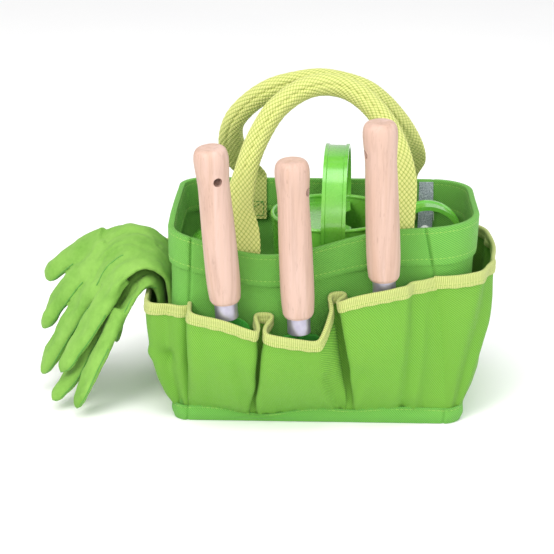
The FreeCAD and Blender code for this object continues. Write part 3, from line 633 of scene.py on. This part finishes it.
def base():
    """The floor of the bag and the band sewn round it."""
    z = np.array([0.45, 1.0, 2.4, 4, 6, 8, 9.6, 10.4, 11.0, 11.6, 12.4, 12.9, 13.1])
    belly = 0.8 * np.sin(np.pi * np.clip((z - 0.4) / 10.6, 0, 1))
    belly = belly - 0.45 * np.exp(-((z - BAND_STITCHES) / 0.5) ** 2)
    s = along(US)[:, None]
    off = 2.75 - 0.9 * ramp((6 - z) / 5) + belly + 0.25 * np.sin(2 * np.pi * s / 23) * ramp(z / 6)
    off = off + 0.2 * np.sin(2 * np.pi * s / PUCKER_PITCH) * np.exp(-((z - BAND_STITCHES) / 0.6) ** 2)
    off = off + seam_dent(US, 1.0, 1.1)[:, None]
    zz = z * (1 - band_low(US)[:, None] * ramp(z / 8)) + 0.45 * np.sin(s / 11) * ramp((z - 8) / 4)
    p = wall(US[:, None], zz, off)
    obj = shell("base_band_cloth", p, 1.0, GREEN, closed=True)
    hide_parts("base_band")
    height = BAND_STITCHES * (1 - band_low(STITCH_US)) + 0.45 * np.sin(along(STITCH_US) / 11.0)
    pts = wall(STITCH_US, height, 2.75 - 0.35)
    stitches("base_band_stitches", pts, outward(STITCH_US, BAND_STITCHES), PALE_THREAD)
    floor_cloth()


def floor_cloth():
    """The bag's floor: a disc of its outline, in rings round its middle, and the same again below."""
    rims = np.array([0.0, 0.15, 0.3, 0.45, 0.6, 0.75, 0.86, 0.94, 0.985, 1.0])
    edge = wall(US, 0.0, -0.1)
    mid = np.array([1.5, 0, 0])
    top = mid + (edge - mid)[:, None] * rims[None, :, None]
    top[..., 2] = 1.5 + 0.12 * field(top, 40, 9) * (1 - rims)
    low = top.copy()
    low[..., 2] = 0.12
    n, m = top.shape[:2]
    verts = np.concatenate([top[:, 1:].reshape(-1, 3), low[:, 1:].reshape(-1, 3), [top[0, 0]], [low[0, 0]]])
    k, faces = m - 1, []
    centre_top, centre_low = 2 * n * k, 2 * n * k + 1
    for i in range(n):
        a, b = i * k, (i + 1) % n * k
        a2, b2 = n * k + a, n * k + b
        faces += [[centre_top, a, b], [centre_low, b2, a2]]
        for j in range(k - 1):
            faces.append([a + j, a + j + 1, b + j + 1, b + j])
            faces.append([a2 + j, b2 + j, b2 + j + 1, a2 + j + 1])
        faces.append([a + k - 1, a2 + k - 1, b2 + k - 1, b + k - 1])
    loops = np.concatenate([np.asarray(f) for f in faces])
    obj = mesh_piece("base_cloth", verts, faces, verts[loops][:, :2], GREEN, fix=True)
    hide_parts("base_panel")


# ---- pockets: each strip's top edge as points of (u, distance off the wall, height) ----

FRONT_STRIP = [(front_u(x), off, flat_height(x, -70 - off, top - CAP)) for x, off, top in (
    (-92.3, S, 96), (-92.5, 10, 95.5), (-92, 20, 95), (-86, 24, 94), (-66, 24.5, 91.5), (-50, 24.8, 86),
    (-43.0, 23, 83.5), (-41.4, 19, 83.8), (-41.6, 13, 85.5), (-44.5, 6, 89.4), (-42.5, S, 90.6),
    (-33.2, S, 90.6), (-31.3, 6, 89.2), (-36.6, 13, 85.2), (-37.2, 19, 83.3), (-35.5, 23, 82),
    (-28, 24, 81), (-12, 24.5, 78), (-2, 24.3, 75.8), (2.5, 23.2, 76.5), (6.5, 19, 83), (10.5, 14.5, 92),
    (12.6, 11.5, 98), (10.8, 6, 103.5), (12.5, S, 105.5), (21.0, S, 106), (23.0, 6, 105), (17.6, 12, 103.5),
    (17.4, 19, 104), (19.6, 23.6, 106), (26, 25.6, 109), (39, 27.2, 112.3), (50, 27.4, 114), (58, 26, 115),
    (66, 21.5, 115.6), (73, 14.5, 115.4), (80, 8, 115.3), (88.6, S, 115.5))]
FRONT_STRIP[0] = (0.0005,) + FRONT_STRIP[0][1:]       # its two ends meet the neighbours at the seams
FRONT_STRIP[-1] = (0.9995,) + FRONT_STRIP[-1][1:]
RIGHT_STRIP = [(1.0005, S, 115.5), (1.30, 6, 116), (1.65, 11, 116), (2.05, 16, 116), (2.5, 20, 115.5),
               (2.95, 18, 115.5), (3.4, 14, 115), (3.75, 8, 115), (3.9995, S, 115)]
BACK_STRIP = [(4 + t, off, 113) for t, off in (
    (0.0005, S), (0.05, 9), (0.10, 15), (0.16, 18), (0.28, 15), (0.325, 9), (0.338, S), (0.352, S),
    (0.365, 9), (0.41, 15), (0.50, 17), (0.59, 15), (0.635, 9), (0.648, S), (0.662, S), (0.675, 9),
    (0.72, 15), (0.84, 18), (0.90, 15), (0.95, 9), (0.9995, S))]
LEFT_STRIP = [(5.0005, S, 113), (5.25, 8, 109), (5.6, 14, 103), (6.05, 19, 96), (6.5, 21.5, 91),
              (6.95, 20.5, 91), (7.3, 17, 93.5), (7.7, 9, 95.5), (7.9995, S, 97)]
FIRST_PLEAT, SECOND_PLEAT, SPLAY = front_u(-39), front_u(16.5), 0.043
FRONT_WIDTH = 165         # mm of the front between its corners
# folds pressed into the pocket cloth: (u, share of the height) at each end, depth and width in mm
FOLDS = {
    "front": [((front_u(75), 0.98), (front_u(60), 0.05), 2.6, 4.0),
              ((front_u(-84), 0.9), (front_u(-76), 0.1), 1.2, 5.0),
              ((front_u(-58), 0.62), (front_u(-47), 0.02), 1.6, 4.0),
              ((front_u(6), 0.5), (front_u(16), 0.02), 1.5, 3.5),
              ((front_u(30), 0.35), (front_u(22), 0.02), 1.3, 3.5)],
    "right": [((1.85, 0.95), (1.38, 0.04), 3.6, 5.0), ((2.9, 0.9), (2.5, 0.1), 2.6, 7.0)],
    "back": [((4.12, 0.9), (4.2, 0.1), 1.4, 5.0), ((4.55, 0.8), (4.47, 0.05), 1.6, 6.0)],
    "left": [((7.62, 0.97), (7.5, 0.5), 5.0, 4.5), ((7.5, 0.5), (7.68, 0.03), 5.0, 4.5),
             ((6.4, 0.8), (6.8, 0.05), 2.0, 8.0)]}


def strip_path(strip, step=1.2):
    """The strip's points with their corners cut round, at an even spacing."""
    rows = np.array(strip, float)
    for _ in range(3):
        a, b = rows[:-1], rows[1:]
        cut = np.empty((2 * len(a), 3))
        cut[0::2], cut[1::2] = 0.75 * a + 0.25 * b, 0.25 * a + 0.75 * b
        rows = np.concatenate([rows[:1], cut, rows[-1:]])
    s = arc(wall(rows[:, 0], rows[:, 2], rows[:, 1]))
    at = np.linspace(0, s[-1], int(s[-1] / step))
    return np.stack([np.interp(at, s, rows[:, k]) for k in range(3)], 1)


def splayed(u, share):
    """u of the front pockets' cloth lower down, where the pleats spread apart."""
    return u + SPLAY * np.interp(u, (0, FIRST_PLEAT, SECOND_PLEAT, 1), (0, -1, 1, 0)) * (1 - share)


def strip_surface(name, path, shares):
    """Middle surface of a pocket strip, at these shares of its height, and its level outward normals."""
    u, off, top = path.T[..., None]
    shares = np.broadcast_to(shares, (len(path), np.shape(shares)[-1]))
    fill = 1 - (1 - shares) ** 2.6
    foot = BAND_SEAM * (1 - band_low(u))
    pinch = 0
    if name == "front":
        for centre in (front_u(-39.3), front_u(16.5)):
            side = (u - centre) * FRONT_WIDTH
            pinch = pinch - side / FRONT_WIDTH * 0.22 * np.exp(-(side / 7) ** 4) * ramp((off - 6) / 4)
        pinch = pinch * ramp((0.9 - shares) / 0.12)
    lift = foot + (top - foot) * shares
    p = wall(splayed(u, shares) + pinch, lift, 1.2 + (S - 1.2) * ramp(shares / 0.1) + (off - S) * fill)
    d = np.gradient(p, axis=0)
    n = unit(np.stack([d[..., 1], -d[..., 0], 0 * d[..., 0]], -1))
    stand = np.clip((off - S) / 12, 0, 1)
    s = arc(p[:, -1])[:, None]
    puff = field(p, 42, 11) * 0.55 + field(p, 17, 12) * 0.28 * (1 - shares)
    gather = 0.55 * np.sin(2 * np.pi * s / 7.3 + 1.3 * np.sin(s / 9.1)) * np.exp(-shares / 0.07) * stand
    move = puff * stand * ramp(shares / 0.1) * ramp((1.08 - shares) / 0.2) + gather
    for (u0, h0), (u1, h1), depth, width in FOLDS[name]:
        t = np.clip((shares - h1) / (h0 - h1), 0, 1)
        centre = along(u1) + (along(u0) - along(u1)) * t
        gap = (along(splayed(u, shares)) - centre) / width
        inside = ramp((shares - h1 + 0.1) / 0.1) * ramp((h0 + 0.1 - shares) / 0.1)
        dip = np.exp(-gap ** 2) - 0.45 * np.exp(-((np.abs(gap) - 1.9) / 0.8) ** 2)
        move = move - depth * dip * inside * stand
    return p + n * move[..., None], n


def pocket(name, strip):
    """A strip of pocket cloth, and the ribbed tape folded over its top edge."""
    path = strip_path(strip)
    shares = np.concatenate([np.linspace(0, 0.12, 7), np.linspace(0.15, 0.97, 30), [1.0]])
    p, n = strip_surface(name, path, shares)
    obj = shell(f"pocket_{name}_cloth", p + n * 0.5, 1.0, POCKET_GREEN, normals=n)
    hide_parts("pocket_" + name)
    height = path[:, 2:] - BAND_SEAM * (1 - band_low(path[:, :1]))
    steps = np.array([0, 0.8, 2.4, 3.2, 4.0, 5.5, 7.0, 8.0])[::-1]
    rows, rn = strip_surface(name, path, 1 - steps[None] / height)
    s = arc(rows[:, -1])
    lip = 0.22 * np.sin(2 * np.pi * s / RIB)[:, None, None] * np.array([0, 0, 1.0])
    far = np.full(len(steps), 1.65)
    far[0] = 1.35
    far[np.argmin(abs(steps - TAPE_DENT))] -= 0.3
    pucker = 0.15 * np.cos(2 * np.pi * s[:, None] / PUCKER_PITCH) * np.exp(-((steps - TAPE_DENT) / 0.7) ** 2)
    thick = rn * (far + pucker)[..., None]
    outer, inner = rows + thick, rows - thick
    outer[:, :1] += lip
    inner[:, :1] += lip
    near_out, near_in = rows + rn * 0.75, rows - rn * 0.75
    up = np.array([0, 0, 1.0])
    top, tn = rows[:, -1], rn[:, -1]
    cap = np.stack([top + tn * 1.3 + up * 0.9, top + tn * 0.5 + up * 1.3, top - tn * 0.5 + up * 1.3,
                    top - tn * 1.3 + up * 0.9], 1)
    lid = np.stack([top - tn * 0.6 + up * 0.35, top + tn * 0.6 + up * 0.35], 1)
    ring = np.concatenate([outer, cap, inner[:, ::-1], near_in, lid, near_out[:, ::-1]], 1)
    t = tube(f"tape_{name}_ribbon", ring, LIME, ring_coords(s, ring[len(ring) // 2]))
    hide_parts("tape_" + name)
    row, nrow = strip_surface(name, path, 1 - np.array([[TAPE_STITCHES]]) / height)
    keep = slice(2, -2)
    for way, side in ((1, "outside"), (-1, "inside")):
        stitches(f"tape_{name}_stitches_{side}", row[keep, 0] + nrow[keep, 0] * way * 1.62,
                 nrow[keep, 0] * way, TAPE_THREAD, length=2.7, r=0.3)


# ---- carry handles ----
FRONT_LOOP = [(-53.5, -65.5, 137.2), (-53.5, -65.5, 140), (-54.5, -62, 149), (-57.5, -56, 164),
              (-54, -46.5, 182), (-48.5, -38, 200), (-41, -29.5, 216), (-30, -21.5, 230.5),
              (-15, -14, 241), (1, -11.2, 245.5), (19, -12, 244), (34, -17, 236),
              (48, -25.5, 222.5), (56, -34, 207), (60, -43, 190), (60, -50.5, 173),
              (58.5, -57.3, 156.5), (58.5, -57.3, 153.8)]
BACK_LOOP = [(-54, 57, 154.4), (-54, 57, 157.4), (-61, 51, 168), (-68, 41, 186),
             (-67, 31, 203), (-58.5, 23.5, 217.5), (-45, 16, 230.5), (-26, 12, 240),
             (2, 10.7, 244.5), (29, 13, 238.5), (47, 19, 226), (60.5, 27, 209),
             (69.5, 36, 190), (72, 47.5, 172), (66.5, 57, 157.4), (66.5, 57, 154.4)]
TAB_OFF = -4.25           # the sewn ends of the webbing lie this far inside the wall
# corners of the stitched box on a tab and of one diagonal: across, and up from its foot
TAB_BOX = ((-10, 1), (10, 1), (10, 13), (-10, 13), (-10, 1), (10, 13))


def handle(name, loop, ends):
    """Flat webbing that hangs inside the rim, comes up, rolls into a round grip and goes down again."""
    tabs = []
    for find_u, x, low in ends:
        z = np.linspace(low, 150.0, 6)
        tabs.append(wall(find_u(x, z), z, TAB_OFF))
    path = np.vstack([tabs[0], np.array(loop[1:-1]), tabs[1][::-1]])
    first, last = len(tabs[0]), len(tabs[0]) + len(loop) - 3
    knots = np.arange(len(path), dtype=float)
    line = curve(np.column_stack([path, knots]), 0.9)
    t = np.clip((line[:, 3] - first) / (last - first), 0, 1)
    line = eased(line[:, :3], 12)
    ahead = unit(np.gradient(line, axis=0))
    turn = np.pi * ramp((t - 0.06) / 0.88)
    across = np.stack([np.cos(turn), 0 * turn, -np.sin(turn)], -1)
    ends_t = np.minimum(t, 1 - t)
    square = ramp((ends_t - 0.03) / 0.15)
    side = unit(across - ahead * ((across * ahead).sum(-1) * square)[:, None])
    up = unit(np.cross(ahead, side))
    rolled = ramp((ends_t - 0.06) / 0.20)[:, None]
    w, h = 25 - 8.6 * rolled, 2.2 + 13 * rolled
    x, y = np.moveaxis(superoval(w, h, 72, 3.2 - 1.2 * rolled), -1, 0)
    a = 2 * np.pi * (np.arange(72) + 0.5) / 72
    seam = np.exp(-(((a - 4.5) / 0.13) ** 2)) * rolled
    x, y = x * (1 - 0.16 * seam), y * (1 - 0.16 * seam)
    wobble = 0.35 * np.sin(arc(line) / 6.1)[:, None] * rolled * np.cos(a - 1)
    x, y = x + wobble * np.cos(a), y + wobble * np.sin(a)
    rings = line[:, None] + side[:, None] * x[..., None] + up[:, None] * y[..., None]
    sv = arc(line)[:, None]
    steps = np.linalg.norm(np.diff(np.concatenate([rings, rings[:, :1]], 1), axis=1), axis=2)
    around = np.cumsum(steps, 1)
    twist = np.cumsum(rolled[:, 0]) * 0.9 * 0.45
    pv = np.concatenate([np.zeros((len(line), 1)), around], 1) * (WEB_CELLS * WEB_CELL / around[:, -1:])
    pv = pv + twist[:, None]
    one, two = (np.sin(np.pi * (sv + way * pv[:, :-1]) / WEB_CELL) for way in (1, -1))
    out = side[:, None] * (x * h)[..., None] + up[:, None] * (y * w)[..., None]
    rings = rings + unit(out) * ((np.abs(one * two) ** 0.5 - 0.6) * (0.45 + 0.35 * rolled))[..., None]
    co = np.stack([np.broadcast_to(sv, pv.shape), pv], -1)
    obj = tube(name + "_handle_webbing", rings, WEB, co, body=None)
    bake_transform(obj)
    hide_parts(name + "_handle_loop", name + "_handle_tab_left", name + "_handle_tab_right")
    inward = np.array([0, 1.0, 0]) if name == "front" else np.array([0, -1.0, 0])
    for tab, label in zip(tabs, ("left", "right")):
        foot, rise = tab[0] + (tab[3] - tab[0]) * 0.1, unit(tab[1] - tab[0])
        box = [foot + rise * b + np.array([a, 0, 0]) for a, b in TAB_BOX]
        row = np.vstack([np.linspace(p, q, 12, endpoint=False) for p, q in zip(box, box[1:])] + [box[-1]])
        stitches(f"{name}_tab_stitches_{label}", row + inward * 1.25,
                 np.broadcast_to(inward, row.shape), DARK_THREAD)


# ---- gloves ----
UPPER_PALM = [((-110.3, 20, 44), (-110.3, -36, 44)), ((-110.8, 21, 70), (-110.8, -37, 68)),
              ((-111.6, 22, 92), (-111.2, -38, 88)), ((-116, 22, 108), (-113.5, -39, 101)),
              ((-131, 22, 121), (-122, -41, 109.5)), ((-147, 23, 125.5), (-133, -43, 110.5)),
              ((-160, 24, 122.5), (-142, -45, 104.5)), ((-174, 25, 114.5), (-150, -46, 96)),
              ((-184, 25, 106.5), (-156, -46, 86))]
LOWER_PALM = [((-117.8, 19, 46), (-117.8, -36, 46)), ((-118.6, 20, 70), (-118.6, -37, 68)),
              ((-120.4, 20, 90), (-120, -38, 86)), ((-126, 18, 103), (-123, -42, 96)),
              ((-134, 16, 108), (-128.5, -47, 97.5)), ((-145, 14, 106), (-136.5, -50, 88.5)),
              ((-155, 13, 96), (-143.5, -52, 75)), ((-163, 12, 84), (-150, -54, 66)),
              ((-169, 11, 74), (-156, -54, 58))]
UPPER_FINGERS = [
    [(-178, 18, 109), (-193, 22, 100), (-206, 24, 89), (-219, 26, 77)],
    [(-171, 2, 103), (-191, 3, 84), (-205, 4, 65), (-218.5, 5, 43)],
    [(-164, -15, 97), (-184, -16, 69), (-200, -17, 43), (-216, -19, 14)],
    [(-155, -34, 91), (-169, -41, 71), (-182, -47, 50), (-195.5, -51, 30)]]
LOWER_FINGERS = [
    [(-154, -46, 67), (-164, -56, 46), (-173, -64, 26), (-181, -70, 8.5)],
    [(-159, -29, 69), (-173, -35, 47), (-187, -44, 25), (-200, -58, 9.0)],
    [(-163, -14, 74), (-176, -19, 52), (-186, -21, 32), (-193, -22, 13)],
    [(-167, 3, 78), (-184, 5, 60), (-198, 5, 44), (-210, 4, 29)],
    [(-152, 10, 96), (-157, 19, 73), (-160, 21, 49), (-161.5, 19, 26)]]


def glove_parts(palm, fingers, folds):
    """Closed forms of a glove's palm and fingers, and the edge lines of its fingers."""
    parts, lines = [], []
    far, near = curve([p for p, _ in palm], 3), curve([q for _, q in palm], 3)
    count = max(len(far), len(near))
    t = np.linspace(0, 1, count)
    far, near = (np.stack([np.interp(t, np.linspace(0, 1, len(e)), e[:, k]) for k in range(3)], 1)
                 for e in (far, near))
    mid, side = (far + near) / 2, unit(far - near)
    up = unit(np.cross(np.gradient(mid, axis=0), side))
    width = np.linalg.norm(far - near, axis=1)
    rings = []
    for i in range(count):
        o = superoval(width[i], 6.6, 48, 3.0)
        across = o[:, 0] / width[i]
        dip = sum(d * np.exp(-((across - at) / 0.035) ** 2) for at, d in folds) * ramp((t[i] - 0.35) / 0.3)
        y = o[:, 1] * (1 - 0.5 * np.clip(dip, 0, 1))
        rings.append(mid[i] + side[i] * o[:, :1] + up[i] * y[:, None])
    parts.append(np.array(rings))
    slope = unit(np.array(palm[-1][0], float) - np.array(palm[-1][1], float))
    for finger in fingers:
        first, second = np.array(finger[0], float), np.array(finger[1], float)
        path = curve([first - unit(second - first) * 12] + finger, 2)
        ahead = unit(np.gradient(path, axis=0))
        across = unit(slope - ahead * (ahead @ slope)[:, None])
        lift = unit(np.cross(ahead, across))
        tt = np.linspace(0, 1, len(path))
        tip = np.sqrt(np.maximum(0.02, 1 - np.maximum(0, (tt - 0.80) / 0.203) ** 2))
        knuckle = 1 + 0.05 * np.sin(tt * 9.0 + finger[0][1])
        wide = 24.5 * (1 - 0.14 * tt) * tip * knuckle
        rings = []
        for i in range(len(path)):
            o = superoval(wide[i], 10.8 * tip[i] * (1 - 0.12 * tt[i]), 32, 2.3)
            rings.append(path[i] + across[i] * o[:, :1] + lift[i] * o[:, 1:])
        parts.append(np.array(rings))
        for way in (-1, 1):
            lines.append((path + across * wide[:, None] / 2 * way)[15:])
    return parts, lines


def merged(name, parts, voxel):
    """One skin round several closed forms."""
    verts, faces = capped(parts)
    me = bpy.data.meshes.new(name)
    me.from_pydata((verts * MM).tolist(), [], faces)
    obj = bpy.data.objects.new(name, me)
    bpy.context.scene.collection.objects.link(obj)
    fix_normals(obj)
    mod = obj.modifiers.new("skin", "REMESH")
    mod.mode, mod.voxel_size = "VOXEL", voxel * MM
    done = bpy.data.meshes.new_from_object(obj.evaluated_get(bpy.context.evaluated_depsgraph_get()))
    obj.modifiers.clear()
    obj.data = done
    return obj


def vectors(me, key):
    """One vector of every vertex: its place in metres (co) or its normal."""
    out = np.empty(len(me.vertices) * 3)
    me.vertices.foreach_get(key, out)
    return out.reshape(-1, 3)


def put_points(me, p):
    me.vertices.foreach_set("co", (p * MM).ravel())
    me.update()


def smooth_points(me, rounds, share, back=0.0):
    """Moves each point towards the middle of its neighbours, and away again by back to keep the size."""
    p = vectors(me, "co") / MM
    e = np.empty(len(me.edges) * 2, int)
    me.edges.foreach_get("vertices", e)
    a, b = e.reshape(-1, 2).T
    count = np.bincount(np.concatenate([a, b]), minlength=len(p))[:, None]
    for k in range(rounds * (2 if back else 1)):
        total = np.stack([np.bincount(a, p[b, c], len(p)) + np.bincount(b, p[a, c], len(p))
                          for c in range(3)], 1)
        p += (total / count - p) * (-back if back and k % 2 else share)
    put_points(me, p)


def on_surface(obj, line):
    """The points of a line moved on to a mesh, with its normals there."""
    tree = BVHTree.FromPolygons([v.co for v in obj.data.vertices],
                                [list(p.vertices) for p in obj.data.polygons])
    hits = [tree.find_nearest(Vector(p * MM)) for p in line]
    return np.array([h[0] for h in hits]) / MM, np.array([h[1] for h in hits])


def near_line(points, line):
    """Distance of each point from a line of closely spaced points."""
    tree = KDTree(len(line))
    for i, q in enumerate(line):
        tree.insert(Vector(q), i)
    tree.balance()
    return np.array([tree.find(Vector(q))[2] for q in points])


def glove(name, palm, fingers, creases, seams):
    """An empty cloth glove with its creases pressed in and its seams laid on."""
    parts, edges = glove_parts(palm, fingers, [(at, 1.0) for at in (-0.26, 0.0, 0.26)])
    obj = merged(name + "_jersey", parts, 1.5)
    smooth_points(obj.data, 9, 0.6, 0.62)
    me = obj.data
    p, n = vectors(me, "co") / MM, vectors(me, "normal")
    away = ramp((-p[:, 0] - 118) / 20)
    d = field(p * np.array([1, 1.8, 1]), 26, 21) * 0.55 * away + field(p, 9, 22) * 0.12
    for line, depth, width in creases:
        fine, _ = on_surface(obj, curve(line, 1.0))
        gap = near_line(p, fine) / width
        d = d - depth * np.exp(-gap ** 2) + depth * 0.45 * np.exp(-((gap - 1.8) / 0.7) ** 2)
    put_points(me, p + n * d[:, None])
    smooth_points(me, 1, 0.4)
    p = vectors(me, "co") / MM
    p[:, 2] = np.maximum(p[:, 2], 0.6)
    put_points(me, p)
    me.polygons.foreach_set("use_smooth", [True] * len(me.polygons))
    me.materials.clear()
    me.materials.append(GLOVE)
    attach(obj, "gloves")
    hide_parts(name)
    rings = []
    for k, line in enumerate(edges + seams):
        fine = curve(line, 1.6) if k >= len(edges) else line
        pts, nn = on_surface(obj, fine)
        pts = eased(pts + nn * 0.05, 2)
        ahead = unit(np.gradient(pts, axis=0))
        side = unit(np.cross(ahead, nn))
        up = unit(np.cross(side, ahead))
        o = superoval(1.15, 0.9, 8, 2)
        rings.append(pts[:, None] + side[:, None] * o[None, :, :1] + up[:, None] * o[None, :, 1:])
    verts, faces = capped(rings)
    seam = mesh_piece(name + "_seams", verts, faces, None, GLOVE_THREAD, 60, "gloves", fix=True)


# ---- inside strap ----

def inner_strap():
    """The flat grey strap that hangs from the rim inside the back."""
    z = np.linspace(151.0, 100.5, 40)
    x = np.linspace(80.6, 92.2, 9)
    p = np.stack([wall(back_u(xx, z), z, -3.6 - 0.25 * math.cos((xx - 86.4) / 2.2)) for xx in x[::-1]], 0)
    p = p[::-1, ::-1]
    n = np.broadcast_to(np.array([0, -1.0, 0]), p.shape)
    obj = shell("grey_inner_strap", p, 1.0, GREY, normals=n)
    fix_normals(obj)
    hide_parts("inner_strap")


# ---- everything ----
for label, lo, hi in (("front", 0, 1), ("right", 1, 4), ("back", 4, 5), ("left", 5, 8)):
    side_sheet(label + "_cloth", lo, hi, label + "_panel")
rim_hem()
base()
pocket("front", FRONT_STRIP)
pocket("right", RIGHT_STRIP)
pocket("back", BACK_STRIP)
pocket("left", LEFT_STRIP)
handle("front", FRONT_LOOP, [(front_u, -53.5, 113.0), (front_u, 58.5, 123.0)])
handle("back", BACK_LOOP, [(back_u, -54.0, 119.0), (back_u, 66.5, 119.0)])
glove("upper_glove", UPPER_PALM, UPPER_FINGERS,
      [([(-176, -18, 92), (-168, -12, 106), (-152, -8, 117), (-138, -14, 117), (-124, -26, 110)], 0.8, 2.0),
       ([(-170, 2, 106), (-152, 8, 122), (-138, 6, 122), (-124, -6, 114)], 0.6, 2.2),
       ([(-150, -40, 101), (-136, -38, 110), (-122, -34, 107)], 0.7, 2.5)],
      [[(-172, -26, 92), (-160, -22, 104), (-148, -20, 112), (-136, -24, 113), (-124, -34, 107)]])
glove("lower_glove", LOWER_PALM, LOWER_FINGERS,
      [([(-150, -44, 75), (-138, -40, 92), (-128, -34, 98)], 0.9, 2.5)],
      [[(-156, -50, 60), (-148, -50, 72), (-138, -48, 88), (-129, -44, 97), (-122, -40, 95)]])
inner_strap()

slot_of = {sub["node"]: sub["material_slot"] for sub in frame["record"]["subparts"]}
for name, obj in frame["nodes"].items():
    if obj.hide_render:
        continue
    paint = SLOTS[slot_of[name]]
    if not obj.data.materials:
        obj.data.materials.append(paint)
    for slot in obj.material_slots:
        slot.material = paint

# ---- stage, light and camera ----

def stage():
    n, reach = 24, 6000
    grid = np.linspace(-reach, reach, n + 1)
    verts = [(x, y, 0.0) for x in grid for y in grid]
    faces, _ = quads(n + 1, n + 1, lambda a, b: a * (n + 1) + b)
    p = Paint("pale_floor", 0.85, specular=0.2)
    p.finish(p.tones(p.noise(2, 2), 0.3, 0.7, (249, 249, 250), (252, 252, 252)))
    mesh_piece("floor", verts, faces.tolist(), None, p.m, body=None)


def area_light(name, place, target, size, power, colour=(1, 1, 1)):
    data = bpy.data.lights.new(name, "AREA")
    data.shape, data.size, data.energy, data.color = "DISK", size, power, colour
    lamp = bpy.data.objects.new(name, data)
    bpy.context.scene.collection.objects.link(lamp)
    lamp.location = place
    lamp.rotation_mode = "QUATERNION"
    lamp.rotation_quaternion = (Vector(target) - Vector(place)).to_track_quat("-Z", "Y")


stage()
world = bpy.data.worlds.new("studio")
world.use_nodes = True
background = world.node_tree.nodes["Background"].inputs
background["Color"].default_value, background["Strength"].default_value = (1, 1, 1, 1), 0.82
scene = bpy.context.scene
scene.world = world
scene.view_settings.view_transform = "Standard"
area_light("key", (-1.1, -1.35, 1.5), (0, 0, 0.1), 1.1, 24, (1.0, 0.98, 0.94))
area_light("front", (0.3, -2.0, 0.9), (0, 0, 0.1), 1.0, 9)
area_light("fill", (1.5, -1.1, 0.9), (0, 0, 0.1), 1.4, 9, (0.94, 1.0, 0.98))
area_light("top", (0.0, -0.4, 1.9), (0, 0, 0.1), 1.1, 11)

camera = bpy.data.objects.new("camera", bpy.data.cameras.new("camera"))
scene.collection.objects.link(camera)
scene.camera = camera
camera.data.lens, camera.data.sensor_width = 100, 36
camera.data.clip_start, camera.data.clip_end = 0.05, 30
TARGET, AZ, EL, DISTANCE = Vector((-0.0312, 0, 0.0901)), math.radians(2), math.radians(20), 1.2
back = Vector((math.sin(AZ) * math.cos(EL), -math.cos(AZ) * math.cos(EL), math.sin(EL)))
camera.location = TARGET + back * DISTANCE
camera.rotation_mode = "QUATERNION"
camera.rotation_quaternion = (-back).to_track_quat("-Z", "Y")
